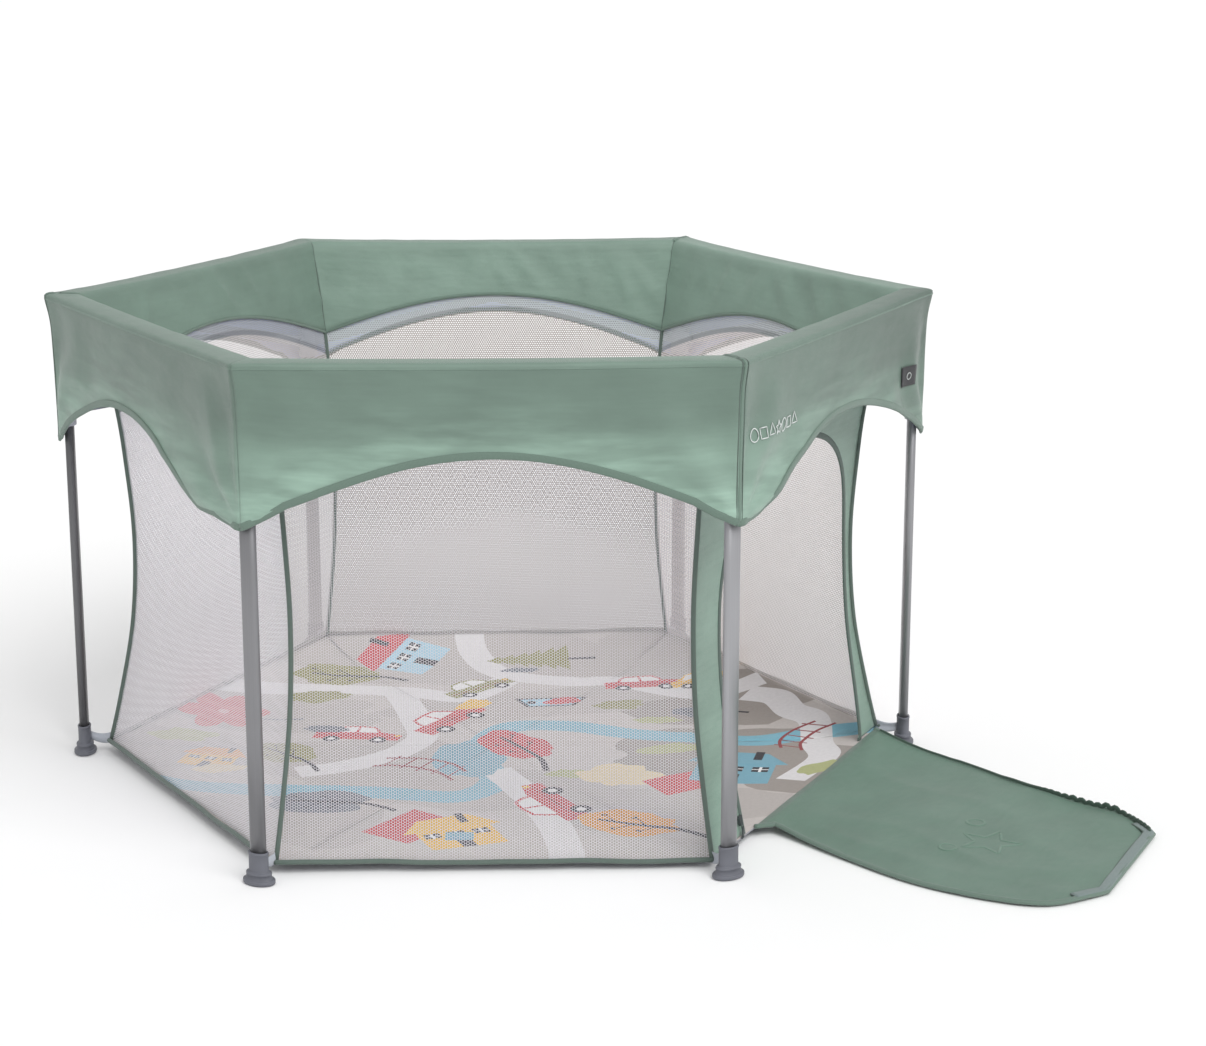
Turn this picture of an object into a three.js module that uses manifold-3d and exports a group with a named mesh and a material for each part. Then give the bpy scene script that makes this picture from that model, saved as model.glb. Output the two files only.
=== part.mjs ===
// A folding hexagonal playpen: six tubular legs joined by a ring of scissor bars, a fabric top band
// that hides the scissors, a mesh bag with a fabric floor, and an arched zip door that opens outwards.
// Millimetres, +Z up. The origin is the middle of the floor's underside, level with the feet.
import * as THREE from "three";
import { mergeVertices } from "three/addons/utils/BufferGeometryUtils.js";
import Module from "manifold-3d";

const wasm = await Module();
wasm.setup();

// ---- Driving dimensions ----

const LEG_CIRCLE = 637.5; // radius of the circle through the legs' centres
const TOP = 720; // height of the top band's upper face
const TURN = Math.PI / 3; // angle between neighbouring corners
const CORNERS = ["front_left", "front_right", "right", "back_right", "back_left", "left"];
const SIDES = ["front", "door", "back_right", "back", "back_left", "front_left"];
const FIRST_CORNER = (4 * Math.PI) / 3; // azimuth of the front left corner; side n runs from corner n
const DOOR_SIDE = SIDES.indexOf("door");
const LOCKED_CORNERS = ["front_right", "back_right", "left"]; // sliders with a release button

const GAP = 0.4; // clearance between neighbouring pieces
const ROUND = 12; // segments of a full circle

const leg = { halfWide: 12, halfDeep: 6.5, wall: 1.4, bottom: 8, top: 706 };
const foot = { halfWide: 24, halfDeep: 17, rim: 8, step: 15, height: 45, sleeveWide: 15.5, sleeveDeep: 10 };
const hub = { halfWide: 15.5, halfDeep: 10, bottom: 672, top: 713 };
const slider = { halfWide: 16.5, halfDeep: 11, below: 30, above: 18 }; // extents from its pivots
const pivot = { reach: 28, hubHeight: 692, sliderHeight: 550, radius: 4 };
const pinHead = { radius: 6.5, thick: 2, gap: 0.3 }; // gap: between the bar and the head of its pin
const bar = { width: 16, thick: 5, offset: 0.8, holeRadius: 4.5 }; // offset: from the legs' plane
const ear = { height: 18, thick: 3.6, start: 6 };
const button = { radius: 5, out: 13.8, length: 4.6, below: 22 };

const skin = 2.5; // thickness of the band's fabric
const mesh = 2; // thickness of the mesh walls
const bandOutside = 660; // corner radius of the band's outer face
const outerArch = { low: 505, rise: 87, half: 330 }; // lower edge of the band's outer face
const innerArch = { low: 571, rise: 60, half: 305 }; // lower edge of the band's inner face
const bag = [
  // corner radius and height of the bag, from the floor up to the band's top edge
  [598, 6.6],
  [577, 90],
  [553, 210],
  [545, 330],
  [551, 440],
  [568, 570],
  [613, TOP],
];
const floor = { thick: 6, edge: 519.9, patch: 22 }; // the patch covers the point where the seams meet
const doorway = { centre: 30, half: 222, height: 535 };
const leaf = { hinge: 521, thick: 4, length: 523, half: 236, skew: 47, settle: 0.6, centre: 5 };
const zip = { along: -206, low: 30, height: 14, width: 10, waist: 6, thick: 4, off: 1.2 };
const pull = { width: 6, neck: 3.6, length: 18, thick: 1.6, hole: 1.5 };

const EDGE_STEPS = 24; // straight lines along an arched lower edge
const DOOR_STEPS = 18; // up one side of the door
const BAG_STEPS = 18; // up the bag

const COS30 = Math.cos(TURN / 2);
const LEG_PLANE = LEG_CIRCLE * COS30; // distance of each side's leg plane from the centre
const HALF_SPAN = LEG_CIRCLE / 2 - pivot.reach; // half the distance between a side's pivots
const DROP = pivot.hubHeight - pivot.sliderHeight;
const BAR_LENGTH = Math.hypot(2 * HALF_SPAN, DROP);
const BAR_SLOPE = Math.atan2(DROP, 2 * HALF_SPAN);

// ---- Colours ----

const finish = (color, roughness, metalness = 0) =>
  new THREE.MeshStandardMaterial({ color, roughness, metalness });
const LOOKS = {
  tube: finish(0x9b9da3, 0.4, 0.8),
  bar: finish(0xa7a9ad, 0.45, 0.8),
  plastic: finish(0x6d7076, 0.55),
  slider: finish(0xc9ccd2, 0.5),
  button: finish(0x3b3d41, 0.5),
  fabric: finish(0x7d9689, 0.8),
  mesh: finish(0xd9d8d6, 0.9),
  print: finish(0xcdc8c6, 0.85),
  metal: finish(0x8a8c90, 0.35, 0.9),
};

// ---- Closed shapes and their joins ----

// A geometry as a manifold solid, its matrix applied.
function solid(geometry, matrix = new THREE.Matrix4()) {
  const bare = geometry.index ? geometry.toNonIndexed() : geometry.clone();
  bare.deleteAttribute("normal");
  bare.deleteAttribute("uv");
  const merged = mergeVertices(bare.applyMatrix4(matrix), 1e-3);
  return new wasm.Manifold(
    new wasm.Mesh({
      numProp: 3,
      vertProperties: merged.attributes.position.array,
      triVerts: new Uint32Array(merged.index.array),
    }),
  );
}

function geometryOf(made) {
  const found = made.getMesh();
  const geometry = new THREE.BufferGeometry();
  geometry.setAttribute("position", new THREE.BufferAttribute(found.vertProperties, 3));
  geometry.setIndex(new THREE.BufferAttribute(found.triVerts, 1));
  geometry.computeVertexNormals();
  return geometry;
}

const join = (pieces) => pieces.reduce((whole, piece) => whole.add(piece));

const axes = (x, y, z) =>
  new THREE.Matrix4().makeBasis(new THREE.Vector3(...x), new THREE.Vector3(...y), new THREE.Vector3(...z));
const UPRIGHT = new THREE.Matrix4(); // outline in X and Y, thickness along Z
const ACROSS = axes([0, 1, 0], [0, 0, 1], [1, 0, 0]); // outline in Y and Z, thickness along X
const ALONG = axes([1, 0, 0], [0, 0, 1], [0, -1, 0]); // outline in X and Z, thickness along -Y

// An outline pushed from one depth to another, standing in the plane that way gives.
function prism(shape, from, to, way = UPRIGHT) {
  const geometry = new THREE.ExtrudeGeometry(shape, {
    depth: to - from,
    bevelEnabled: false,
    curveSegments: ROUND / 2 - 1,
  });
  return solid(geometry.translate(0, 0, from), way);
}

const polygon = (points) => new THREE.Shape(points.map(([x, y]) => new THREE.Vector2(x, y)));

const rectangle = (x0, x1, y0, y1) =>
  polygon([
    [x0, y0],
    [x1, y0],
    [x1, y1],
    [x0, y1],
  ]);

function circle(radius, x = 0, y = 0) {
  return polygon(
    Array.from({ length: ROUND }, (_, n) => [
      x + radius * Math.cos((2 * Math.PI * n) / ROUND),
      y + radius * Math.sin((2 * Math.PI * n) / ROUND),
    ]),
  );
}

// A flat-sided oval, halfDeep along X and halfWide along Y, with round ends.
function oval(halfWide, halfDeep) {
  const shape = new THREE.Shape();
  const straight = halfWide - halfDeep;
  shape.absarc(0, straight, halfDeep, 0, Math.PI, false);
  shape.absarc(0, -straight, halfDeep, Math.PI, 2 * Math.PI, false);
  return shape;
}

// An ellipse, for the moulded plastic pieces.
function ellipse(halfWide, halfDeep) {
  const count = 2 * ROUND - 4;
  return polygon(
    Array.from({ length: count }, (_, n) => [
      halfDeep * Math.cos((2 * Math.PI * n) / count),
      halfWide * Math.sin((2 * Math.PI * n) / count),
    ]),
  );
}

// ---- Placing ----

const playpen = new THREE.Group();
playpen.name = "playpen";

const cornerAzimuth = (n) => FIRST_CORNER + n * TURN;
const sideAzimuth = (n) => cornerAzimuth(n) + TURN / 2;

// At a corner, X points outwards, Y runs anticlockwise and the origin is below the leg's centre.
const cornerFrames = CORNERS.map((_, n) => {
  const group = new THREE.Group();
  group.position.set(LEG_CIRCLE * Math.cos(cornerAzimuth(n)), LEG_CIRCLE * Math.sin(cornerAzimuth(n)), 0);
  group.rotation.z = cornerAzimuth(n);
  playpen.add(group);
  return group;
});

// On a side, X is the distance outwards from the centre and Y runs anticlockwise along the side.
const sideFrames = SIDES.map((_, n) => {
  const group = new THREE.Group();
  group.rotation.z = sideAzimuth(n);
  playpen.add(group);
  return group;
});

function place(frame, name, made, look) {
  const piece = new THREE.Mesh(geometryOf(made), look);
  piece.name = name;
  frame.add(piece);
  return piece;
}

// ---- Frame pieces ----

function makeLeg() {
  const outside = prism(oval(leg.halfWide, leg.halfDeep), leg.bottom, leg.top);
  const bore = oval(leg.halfWide - leg.wall, leg.halfDeep - leg.wall);
  return outside.subtract(prism(bore, leg.bottom - 1, leg.top + 1));
}

// The space that a leg needs inside a piece fitted round it.
const legSpace = (from, to) => prism(oval(leg.halfWide + GAP, leg.halfDeep + GAP), from, to);

function makeFoot() {
  const rim = prism(ellipse(foot.halfWide, foot.halfDeep), 0, foot.rim);
  const step = prism(ellipse(foot.halfWide - 4, foot.halfDeep - 3.5), foot.rim - 1, foot.step);
  const sleeve = prism(ellipse(foot.sleeveWide, foot.sleeveDeep), foot.step - 1, foot.height);
  return join([rim, step, sleeve]).subtract(legSpace(leg.bottom - GAP, foot.height + 1));
}

// One ear with its pivot pin. Seen from the leg, way is 1 towards the next corner and -1 towards the
// one before; side is 1 for a bar outside the legs' plane and -1 for one inside it.
function makeEar(way, side, height) {
  const tip = pivot.reach + ear.height / 2;
  const outline = new THREE.Shape();
  outline.moveTo(ear.start, -ear.height / 2);
  outline.lineTo(pivot.reach, -ear.height / 2);
  outline.absarc(pivot.reach, 0, tip - pivot.reach, -Math.PI / 2, Math.PI / 2, false);
  outline.lineTo(ear.start, ear.height / 2);
  const near = bar.offset - GAP; // face next to the bar
  const far = bar.offset + bar.thick + pinHead.gap; // inner face of the pin's head
  const span = (a, b) => (side > 0 ? [a, b] : [-b, -a]);
  const plate = prism(outline, ...span(near - ear.thick, near), ACROSS);
  const pin = prism(circle(pivot.radius, pivot.reach, 0), ...span(near - 1, far + 1), ACROSS);
  const head = prism(circle(pinHead.radius, pivot.reach, 0), ...span(far, far + pinHead.thick), ACROSS);
  const turn = new THREE.Matrix4().makeRotationZ((way * TURN) / 2);
  const flip = way > 0 ? UPRIGHT : new THREE.Matrix4().makeRotationX(Math.PI);
  const lift = new THREE.Matrix4().makeTranslation(0, 0, height);
  const matrix = lift.multiply(turn).multiply(flip);
  return solid(geometryOf(join([plate, pin, head])), matrix);
}

// The hub caps the leg. The outer bar of the next side and the inner bar of the last side turn on it.
function makeHub() {
  const body = prism(ellipse(hub.halfWide, hub.halfDeep), hub.bottom, hub.top);
  const ears = [makeEar(1, 1, pivot.hubHeight), makeEar(-1, -1, pivot.hubHeight)];
  return join([body, ...ears]).subtract(legSpace(hub.bottom - 1, leg.top + GAP));
}

// The slider runs on the leg. The inner bar of the next side and the outer bar of the last side end on it.
function makeSlider(locked) {
  const low = pivot.sliderHeight - slider.below;
  const high = pivot.sliderHeight + slider.above;
  const body = prism(ellipse(slider.halfWide, slider.halfDeep), low, high);
  const ears = [makeEar(1, -1, pivot.sliderHeight), makeEar(-1, 1, pivot.sliderHeight)];
  const whole = join([body, ...ears]).subtract(legSpace(low - 1, high + 1));
  if (!locked) return whole;
  const hole = circle(button.radius + GAP, 0, pivot.sliderHeight - button.below);
  return whole.subtract(prism(hole, 0, slider.halfDeep + 1, ACROSS));
}

function makeButton() {
  const disc = circle(button.radius, 0, pivot.sliderHeight - button.below);
  return prism(disc, button.out - button.length, button.out, ACROSS);
}

// A flat bar with round ends, along Y and centred on its middle pivot.
function makeBar(outer) {
  const reach = BAR_LENGTH / 2;
  const outline = new THREE.Shape();
  outline.absarc(reach, 0, bar.width / 2, -Math.PI / 2, Math.PI / 2, false);
  outline.absarc(-reach, 0, bar.width / 2, Math.PI / 2, (3 * Math.PI) / 2, false);
  const ends = [reach, -reach];
  const holes = outer ? ends : [...ends, 0];
  outline.holes = holes.map((along) => circle(bar.holeRadius, along));
  const near = bar.offset;
  const far = bar.offset + bar.thick;
  if (!outer) return prism(outline, -far, -near, ACROSS);
  const pinEnd = far + pinHead.gap;
  const pin = prism(circle(pivot.radius), -pinEnd - 1, near + 1, ACROSS);
  const head = prism(circle(pinHead.radius), -pinEnd - pinHead.thick, -pinEnd, ACROSS);
  return join([prism(outline, near, far, ACROSS), pin, head]);
}

// ---- Soft pieces ----

// The slice of the playpen that belongs to one side, less the gap to its neighbours.
function sector() {
  const tip = GAP / 2 / Math.sin(TURN / 2);
  const far = 2 * LEG_CIRCLE;
  const side = (far - tip) * Math.tan(TURN / 2);
  const outline = polygon([
    [tip, 0],
    [far, -side],
    [far, side],
  ]);
  return prism(outline, -1, TOP + 1);
}

// Everything on a side above an arched edge.
function aboveArch(arch, lower = 0) {
  const points = Array.from({ length: EDGE_STEPS + 1 }, (_, n) => {
    const share = (2 * n) / EDGE_STEPS - 1;
    return [arch.half * share, arch.low + arch.rise * Math.cos((Math.PI / 2) * share) - lower];
  });
  const ends = [
    [LEG_CIRCLE, arch.low - lower],
    [LEG_CIRCLE, TOP + 1],
    [-LEG_CIRCLE, TOP + 1],
    [-LEG_CIRCLE, arch.low - lower],
  ];
  return prism(polygon([...points, ...ends]), 0, bandOutside + 10, ACROSS);
}

const bagLine = new THREE.SplineCurve(bag.map(([radius, z]) => new THREE.Vector2(radius * COS30, z)));

// The bag's sheet along one side, from the floor to the top of the band.
function bagSheet(thick) {
  const line = bagLine.getPoints(BAG_STEPS);
  const outside = line.map((p) => [p.x + thick, p.y]).reverse();
  const outline = polygon([...line.map((p) => [p.x, p.y]), ...outside]);
  return prism(outline, -LEG_CIRCLE, LEG_CIRCLE, ALONG).intersect(sector());
}

function makeBand() {
  const outside = bandOutside * COS30;
  const inside = bag.at(-1)[0] * COS30;
  const wide = LEG_CIRCLE;
  const front = prism(rectangle(outside - skin, outside, -wide, wide), 0, TOP).intersect(sector());
  const top = prism(rectangle(inside, outside, -wide, wide), TOP - skin, TOP).intersect(sector());
  const back = bagSheet(skin).intersect(aboveArch(innerArch));
  return join([front.intersect(aboveArch(outerArch)), top, back]);
}

// Half the width of the door's arch at a share of its height.
const archHalf = (half, share) => half * Math.sqrt(Math.max(0, 1 - share ** 8));

// The share of the height at each step, closer together towards the tip.
const archShares = Array.from({ length: DOOR_STEPS + 1 }, (_, n) =>
  Math.sin((Math.PI / 2) * (n / DOOR_STEPS)),
);

function doorwaySpace() {
  const edge = (side) =>
    archShares.map((share) => [
      doorway.centre + side * archHalf(doorway.half, share),
      doorway.height * share,
    ]);
  const outline = [...edge(1), ...edge(-1).reverse().slice(1)];
  const below = [
    [doorway.centre - doorway.half, -20],
    [doorway.centre + doorway.half, -20],
  ];
  return prism(polygon([...below, ...outline]), 0, bandOutside, ACROSS);
}

function makeWall(side) {
  const sheet = bagSheet(mesh).subtract(aboveArch(innerArch, GAP));
  return side === DOOR_SIDE ? sheet.subtract(doorwaySpace()) : sheet;
}

// One sixth of the floor. The door's share carries the round patch in the middle.
function makeGore(side) {
  const whole = prism(rectangle(0, floor.edge, -LEG_CIRCLE, LEG_CIRCLE), 0, floor.thick).intersect(sector());
  if (side === DOOR_SIDE) return whole.add(prism(circle(floor.patch), 0, floor.thick));
  return whole.subtract(prism(circle(floor.patch + GAP), -1, floor.thick + 1));
}

// The door leaf lies outside the door side. Its middle line drifts a little on its way out.
function makeLeaf() {
  const middle = (share) => {
    const settled = Math.min(1, share / leaf.settle);
    return leaf.centre + (leaf.skew / 2) * (1 + Math.cos(Math.PI * settled));
  };
  const edge = (side) =>
    archShares.map((share) => [
      leaf.hinge + leaf.length * share,
      middle(share) + side * archHalf(leaf.half, share),
    ]);
  return prism(polygon([...edge(-1), ...edge(1).reverse().slice(1)]), 0, leaf.thick);
}

// ---- Zip ----

// Distance of the bag's outer face from the centre at a height near the floor.
function bagFace(height) {
  const [low, high] = bag;
  const share = (height - low[1]) / (high[1] - low[1]);
  return (low[0] + (high[0] - low[0]) * share) * COS30 + mesh;
}

const zipLean = Math.atan2((bag[1][0] - bag[0][0]) * COS30, bag[1][1] - bag[0][1]);
const zipFace = bagFace(zip.low) + zip.off;

function makeZipSlider() {
  const outline = polygon([
    [-zip.width / 2, zip.height],
    [-zip.waist / 2, 0],
    [zip.waist / 2, 0],
    [zip.width / 2, zip.height],
  ]);
  return prism(outline, 0, zip.thick, ACROSS);
}

function makeZipPull() {
  const outline = polygon([
    [-pull.neck / 2, 0],
    [-pull.width / 2, -pull.length],
    [pull.width / 2, -pull.length],
    [pull.neck / 2, 0],
  ]);
  outline.holes = [circle(pull.hole, 0, -pull.length + pull.width / 2)];
  return prism(outline, 0, pull.thick, ACROSS);
}

// ---- Assembly ----

CORNERS.forEach((corner, n) => {
  const frame = cornerFrames[n];
  const locked = LOCKED_CORNERS.includes(corner);
  place(frame, `leg_${corner}`, makeLeg(), LOOKS.tube);
  place(frame, `foot_${corner}`, makeFoot(), LOOKS.plastic);
  place(frame, `hub_${corner}`, makeHub(), LOOKS.plastic);
  place(frame, `slider_${corner}`, makeSlider(locked), LOOKS.slider);
  if (locked) place(frame, `lock_button_${corner}`, makeButton(), LOOKS.button);
});

SIDES.forEach((side, n) => {
  const frame = sideFrames[n];
  const middle = (pivot.hubHeight + pivot.sliderHeight) / 2;
  for (const outer of [true, false]) {
    const name = `${outer ? "outer" : "inner"}_bar_${side}`;
    const piece = place(frame, name, makeBar(outer), LOOKS.bar);
    piece.position.set(LEG_PLANE, 0, middle);
    piece.rotation.x = outer ? -BAR_SLOPE : BAR_SLOPE;
  }
  place(frame, `top_band_${side}`, makeBand(), LOOKS.fabric);
  place(frame, `mesh_wall_${side}`, makeWall(n), LOOKS.mesh);
  place(frame, `floor_gore_${side}`, makeGore(n), LOOKS.print);
});

const doorFrame = sideFrames[DOOR_SIDE];
place(doorFrame, "door_leaf", makeLeaf(), LOOKS.fabric);
const zipSlider = place(doorFrame, "zip_slider", makeZipSlider(), LOOKS.metal);
zipSlider.position.set(zipFace, zip.along, zip.low);
zipSlider.rotation.y = zipLean;
const zipPull = place(doorFrame, "zip_pull", makeZipPull(), LOOKS.metal);
zipPull.position.set(zipFace + zip.thick + GAP, zip.along, zip.low - GAP);

export default playpen;
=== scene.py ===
import math

import bpy
import numpy as np
from mathutils import Matrix, Vector, noise
from mathutils.geometry import delaunay_2d_cdt


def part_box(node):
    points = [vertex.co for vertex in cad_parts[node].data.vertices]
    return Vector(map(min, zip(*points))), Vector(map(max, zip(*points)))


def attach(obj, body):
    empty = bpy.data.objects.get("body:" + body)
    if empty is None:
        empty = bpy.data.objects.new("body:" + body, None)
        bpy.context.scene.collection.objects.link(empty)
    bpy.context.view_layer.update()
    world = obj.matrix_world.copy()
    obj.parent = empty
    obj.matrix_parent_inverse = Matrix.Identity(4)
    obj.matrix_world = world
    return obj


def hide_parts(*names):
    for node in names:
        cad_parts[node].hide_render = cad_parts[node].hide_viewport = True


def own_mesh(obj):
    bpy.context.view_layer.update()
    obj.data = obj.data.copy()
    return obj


# The looks of a folding hexagonal playpen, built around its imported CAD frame. Metres, +Z up.

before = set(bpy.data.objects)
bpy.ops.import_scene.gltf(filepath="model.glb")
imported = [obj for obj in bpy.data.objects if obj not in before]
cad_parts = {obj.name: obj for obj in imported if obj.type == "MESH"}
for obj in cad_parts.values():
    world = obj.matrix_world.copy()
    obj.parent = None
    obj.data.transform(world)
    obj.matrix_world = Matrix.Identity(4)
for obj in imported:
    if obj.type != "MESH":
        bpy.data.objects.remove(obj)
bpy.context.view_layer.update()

# ---- Driving sizes ----

CORNERS = ("front_left", "front_right", "right", "back_right", "back_left", "left")
SIDES = ("front", "door", "back_right", "back", "back_left", "front_left")
DOOR = SIDES.index("door")
TURN = math.pi / 3
FIRST_CORNER = 4 * TURN  # azimuth of the front left corner; side n runs from corner n
COS30 = math.cos(TURN / 2)
TAN30 = math.tan(TURN / 2)


def middle(node):
    low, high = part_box(node)
    return (low + high) / 2


BAND_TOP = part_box("top_band_front")[1].z
BAND_OUT = -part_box("top_band_front")[0].y  # distance of the band's outer face from the centre
BAND_FACE = BAND_OUT - 0.0012  # and of the valance's cloth
BAND_REACH = BAND_OUT * TAN30  # half the outer face's length
FLOOR_OUT = -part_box("floor_gore_front")[0].y
FLOOR_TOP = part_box("floor_gore_front")[1].z

# The bag's corner line: its distance from the centre and its height, from the floor to the band's top.
BAG_LINE = (
    (0.598, 0.0066),
    (0.577, 0.09),
    (0.553, 0.21),
    (0.545, 0.33),
    (0.551, 0.44),
    (0.568, 0.57),
    (0.613, BAND_TOP),
)
BAG_FOOT = BAG_LINE[0]
# A valance's lower edge: its height at the corners, its rise, and how far the arch reaches to each side.
OUTER_ARCH = {"low": 0.505, "rise": 0.087, "power": 1.1, "middle": 0.0, "halves": (0.33, 0.33)}
DOOR_ARCH = {**OUTER_ARCH, "middle": 0.01, "halves": (0.287, 0.325)}
LEFT_ARCH = {**OUTER_ARCH, "middle": -0.055, "halves": (0.268, 0.27)}
INNER_ARCH = {"low": 0.571, "rise": 0.06, "power": 1.0, "middle": 0.0, "halves": (0.305, 0.305)}

# How high the bag's bottom corners hang above the ground.
LIFTS = dict(zip(CORNERS, (0.018, 0.012, 0.028, 0.035, 0.035, 0.02)))
BOTTOM_SAG = 0.002  # how far its bottom edge sags midway between two corners
DOORWAY = {"centre": 0.03, "half": 0.222, "height": 0.535, "flare": 0.026}
# The door leaf's two long edges, from its hinge to its tip: (share of its length, place along the side).
LEAF_NEAR = (
    (0, -0.165),
    (0.03, -0.146),
    (0.06, -0.142),
    (0.28, -0.187),
    (0.5, -0.226),
    (0.71, -0.235),
    (0.865, -0.216),
    (0.97, -0.14),
)
LEAF_FAR = (
    (0, 0.282),
    (0.03, 0.277),
    (0.17, 0.268),
    (0.32, 0.249),
    (0.51, 0.206),
    (0.68, 0.174),
    (0.83, 0.157),
    (0.905, 0.126),
    (0.955, 0.097),
)
LEAF_LEVEL = 0.0045  # height of the leaf's middle above the ground

# ---- Places ----

# A side's and a corner's axes: +X outward, +Y along the side.
side_axes = [Matrix.Rotation(FIRST_CORNER + (n + 0.5) * TURN, 4, "Z") for n in range(6)]
corner_axes = [
    Matrix.Translation(Vector((*middle(f"leg_{name}").to_2d(), 0)))
    @ Matrix.Rotation(FIRST_CORNER + n * TURN, 4, "Z")
    for n, name in enumerate(CORNERS)
]


def way(axes, x, y):
    """A direction given in a side's or a corner's axes."""
    return axes.to_3x3() @ Vector((x, y, 0))


def spline(points, steps):
    """A smooth line through the points (Catmull-Rom), steps to each stretch."""
    ends = [points[0], *points, points[-1]]
    line = []
    for a, b, c, d in zip(ends, ends[1:], ends[2:], ends[3:]):
        a, b, c, d = (np.array(p, float) for p in (a, b, c, d))
        for t in np.arange(steps) / steps:
            curve = t * (2 * a - 5 * b + 4 * c - d + t * (3 * (b - c) + d - a))
            line.append(b + 0.5 * t * (c - a + curve))
    return np.array([*line, points[-1]])


bag_samples = spline(BAG_LINE, 12)


def bag_out(z):
    """How far a wall's sheet is from the centre at a height."""
    return float(np.interp(z, bag_samples[:, 1], bag_samples[:, 0])) * COS30


def arch(shape, along):
    """Height of an arched lower edge at a place along its side."""
    away = along - shape["middle"]
    share = min(1.0, abs(away) / shape["halves"][away > 0])
    return shape["low"] + shape["rise"] * max(0.0, math.cos(math.pi / 2 * share)) ** shape["power"]


def lift(side, share):
    """How high the bag's bottom edge hangs above the ground at a place along a side."""
    t = (share + 1) / 2
    first, second = (LIFTS[CORNERS[(side + k) % 6]] for k in (0, 1))
    return first + (second - first) * t - BOTTOM_SAG * 4 * t * (1 - t)


def at_corner(out, share, radius):
    """A place on a hexagon with rounded corners: share runs from -1 to 1 between a side's mitres."""
    straight = (out - radius) * TAN30
    along = share * (straight + radius * TURN / 2)
    over = abs(along) - straight
    if over <= 0:
        return out, along
    angle = over / radius
    return out - radius * (1 - math.cos(angle)), math.copysign(straight + radius * math.sin(angle), along)


def columns(count):
    """Shares from -1 to 1, closer together at the rounded corners."""
    fine = 0.975
    ends = [fine + (1 - fine) * k / 3 for k in (1, 2, 3)]
    return [-e for e in reversed(ends)] + list(np.linspace(-fine, fine, count)) + ends


def ripple(x, y, seed):
    return noise.noise(Vector((x, y, seed * 7.3)))


def crease(x, y, seed):
    """Soft ridges: one thin line wherever the noise crosses zero."""
    return (1 - min(1.0, 2.2 * abs(ripple(x, y, seed)))) ** 2


# ---- Meshes ----

UPWARD = Vector((0, 0, 1))


def add_object(name, points, faces, uvs=None, smooth=True):
    mesh = bpy.data.meshes.new(name)
    mesh.from_pydata([tuple(p) for p in points], [], faces)
    if uvs is not None:
        layer = mesh.uv_layers.new(name="UVMap")
        flat = [uvs[v] for face in faces for v in face] if len(uvs) == len(points) else uvs
        layer.data.foreach_set("uv", [c for uv in flat for c in uv])
    mesh.polygons.foreach_set("use_smooth", [smooth] * len(faces))
    mesh.validate()
    mesh.update()
    made = bpy.data.objects.new(name, mesh)
    bpy.context.scene.collection.objects.link(made)
    return made


def grid(name, lines, uv_lines):
    """A sheet through rows of points, each row as long as the others."""
    rows, count = len(lines), len(lines[0])
    points = [p for line in lines for p in line]
    uvs = [uv for line in uv_lines for uv in line]
    faces = []
    for i in range(rows - 1):
        for j in range(count - 1):
            a = i * count + j
            faces.append((a, a + 1, a + count + 1, a + count))
    return add_object(name, points, faces, uvs)


def lengths_along(points):
    """Each point's distance along its line."""
    found = [0.0]
    for a, b in zip(points, points[1:]):
        found.append(found[-1] + (b - a).length)
    return found


def sweep(name, path, section, upward, closed=False):
    """A section carried along a path, with its second axis towards upward."""
    count, around = len(path), len(section)
    points, uvs, faces = [], [], []
    lengths, rim = lengths_along(path), lengths_along([Vector(p) for p in section])
    for k, p in enumerate(path):
        before = path[k - 1] if k or closed else p
        after = path[(k + 1) % count] if k + 1 < count or closed else p
        forward = (after - before).normalized()
        up = (upward - upward.dot(forward) * forward).normalized()
        across = forward.cross(up)
        for m, (a, b) in enumerate(section):
            points.append(p + across * a + up * b)
            uvs.append((rim[m], lengths[k]))
    last = count if closed else count - 1
    for k in range(last):
        for m in range(around):
            a, b = k * around + m, k * around + (m + 1) % around
            c, d = (k + 1) % count * around + (m + 1) % around, (k + 1) % count * around + m
            faces.append((a, b, c, d))
    if not closed:
        faces.append(tuple(range(around))[::-1])
        faces.append(tuple((count - 1) * around + m for m in range(around)))
    return add_object(name, points, faces, uvs)


def ellipse(half_wide, half_thick, count=12):
    angles = [2 * math.pi * k / count for k in range(count)]
    return [(half_wide * math.cos(angle), half_thick * math.sin(angle)) for angle in angles]


def tape(half_wide, thick):
    """A flat tape's section with soft edges."""
    edge = thick / 2
    right = [(half_wide - edge + edge * math.cos(a), edge * math.sin(a)) for a in (-1.57, -0.8, 0, 0.8, 1.57)]
    return right + [(-a, -b) for a, b in right]


def modify(piece, kind, **settings):
    made = piece.modifiers.new(kind.lower(), kind)
    for key, value in settings.items():
        setattr(made, key, value)


def thicken(piece, thick, offset=0.0):
    modify(piece, "SOLIDIFY", thickness=thick, offset=offset, use_even_offset=False)


# ---- Materials ----


def node(tree, kind, inputs=None, **settings):
    made = tree.nodes.new("ShaderNode" + kind)
    for key, value in settings.items():
        setattr(made, key, value)
    for key, value in (inputs or {}).items():
        if isinstance(value, bpy.types.NodeSocket):
            tree.links.new(value, made.inputs[key])
        else:
            made.inputs[key].default_value = value
    return made


def maths(tree, operation, *values):
    return node(tree, "Math", dict(enumerate(values)), operation=operation).outputs[0]


def times(tree, first, second):
    return maths(tree, "MULTIPLY", first, second)


def plus(tree, first, second):
    return maths(tree, "ADD", first, second)


def shader(name, **sockets):
    """A material with a Principled shader and these values on its own sockets."""
    made = bpy.data.materials.new(name)
    made.use_nodes = True
    tree = made.node_tree
    principled = tree.nodes["Principled BSDF"]
    for key, value in sockets.items():
        principled.inputs[key.replace("_", " ")].default_value = value
    return made, tree, principled


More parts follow.
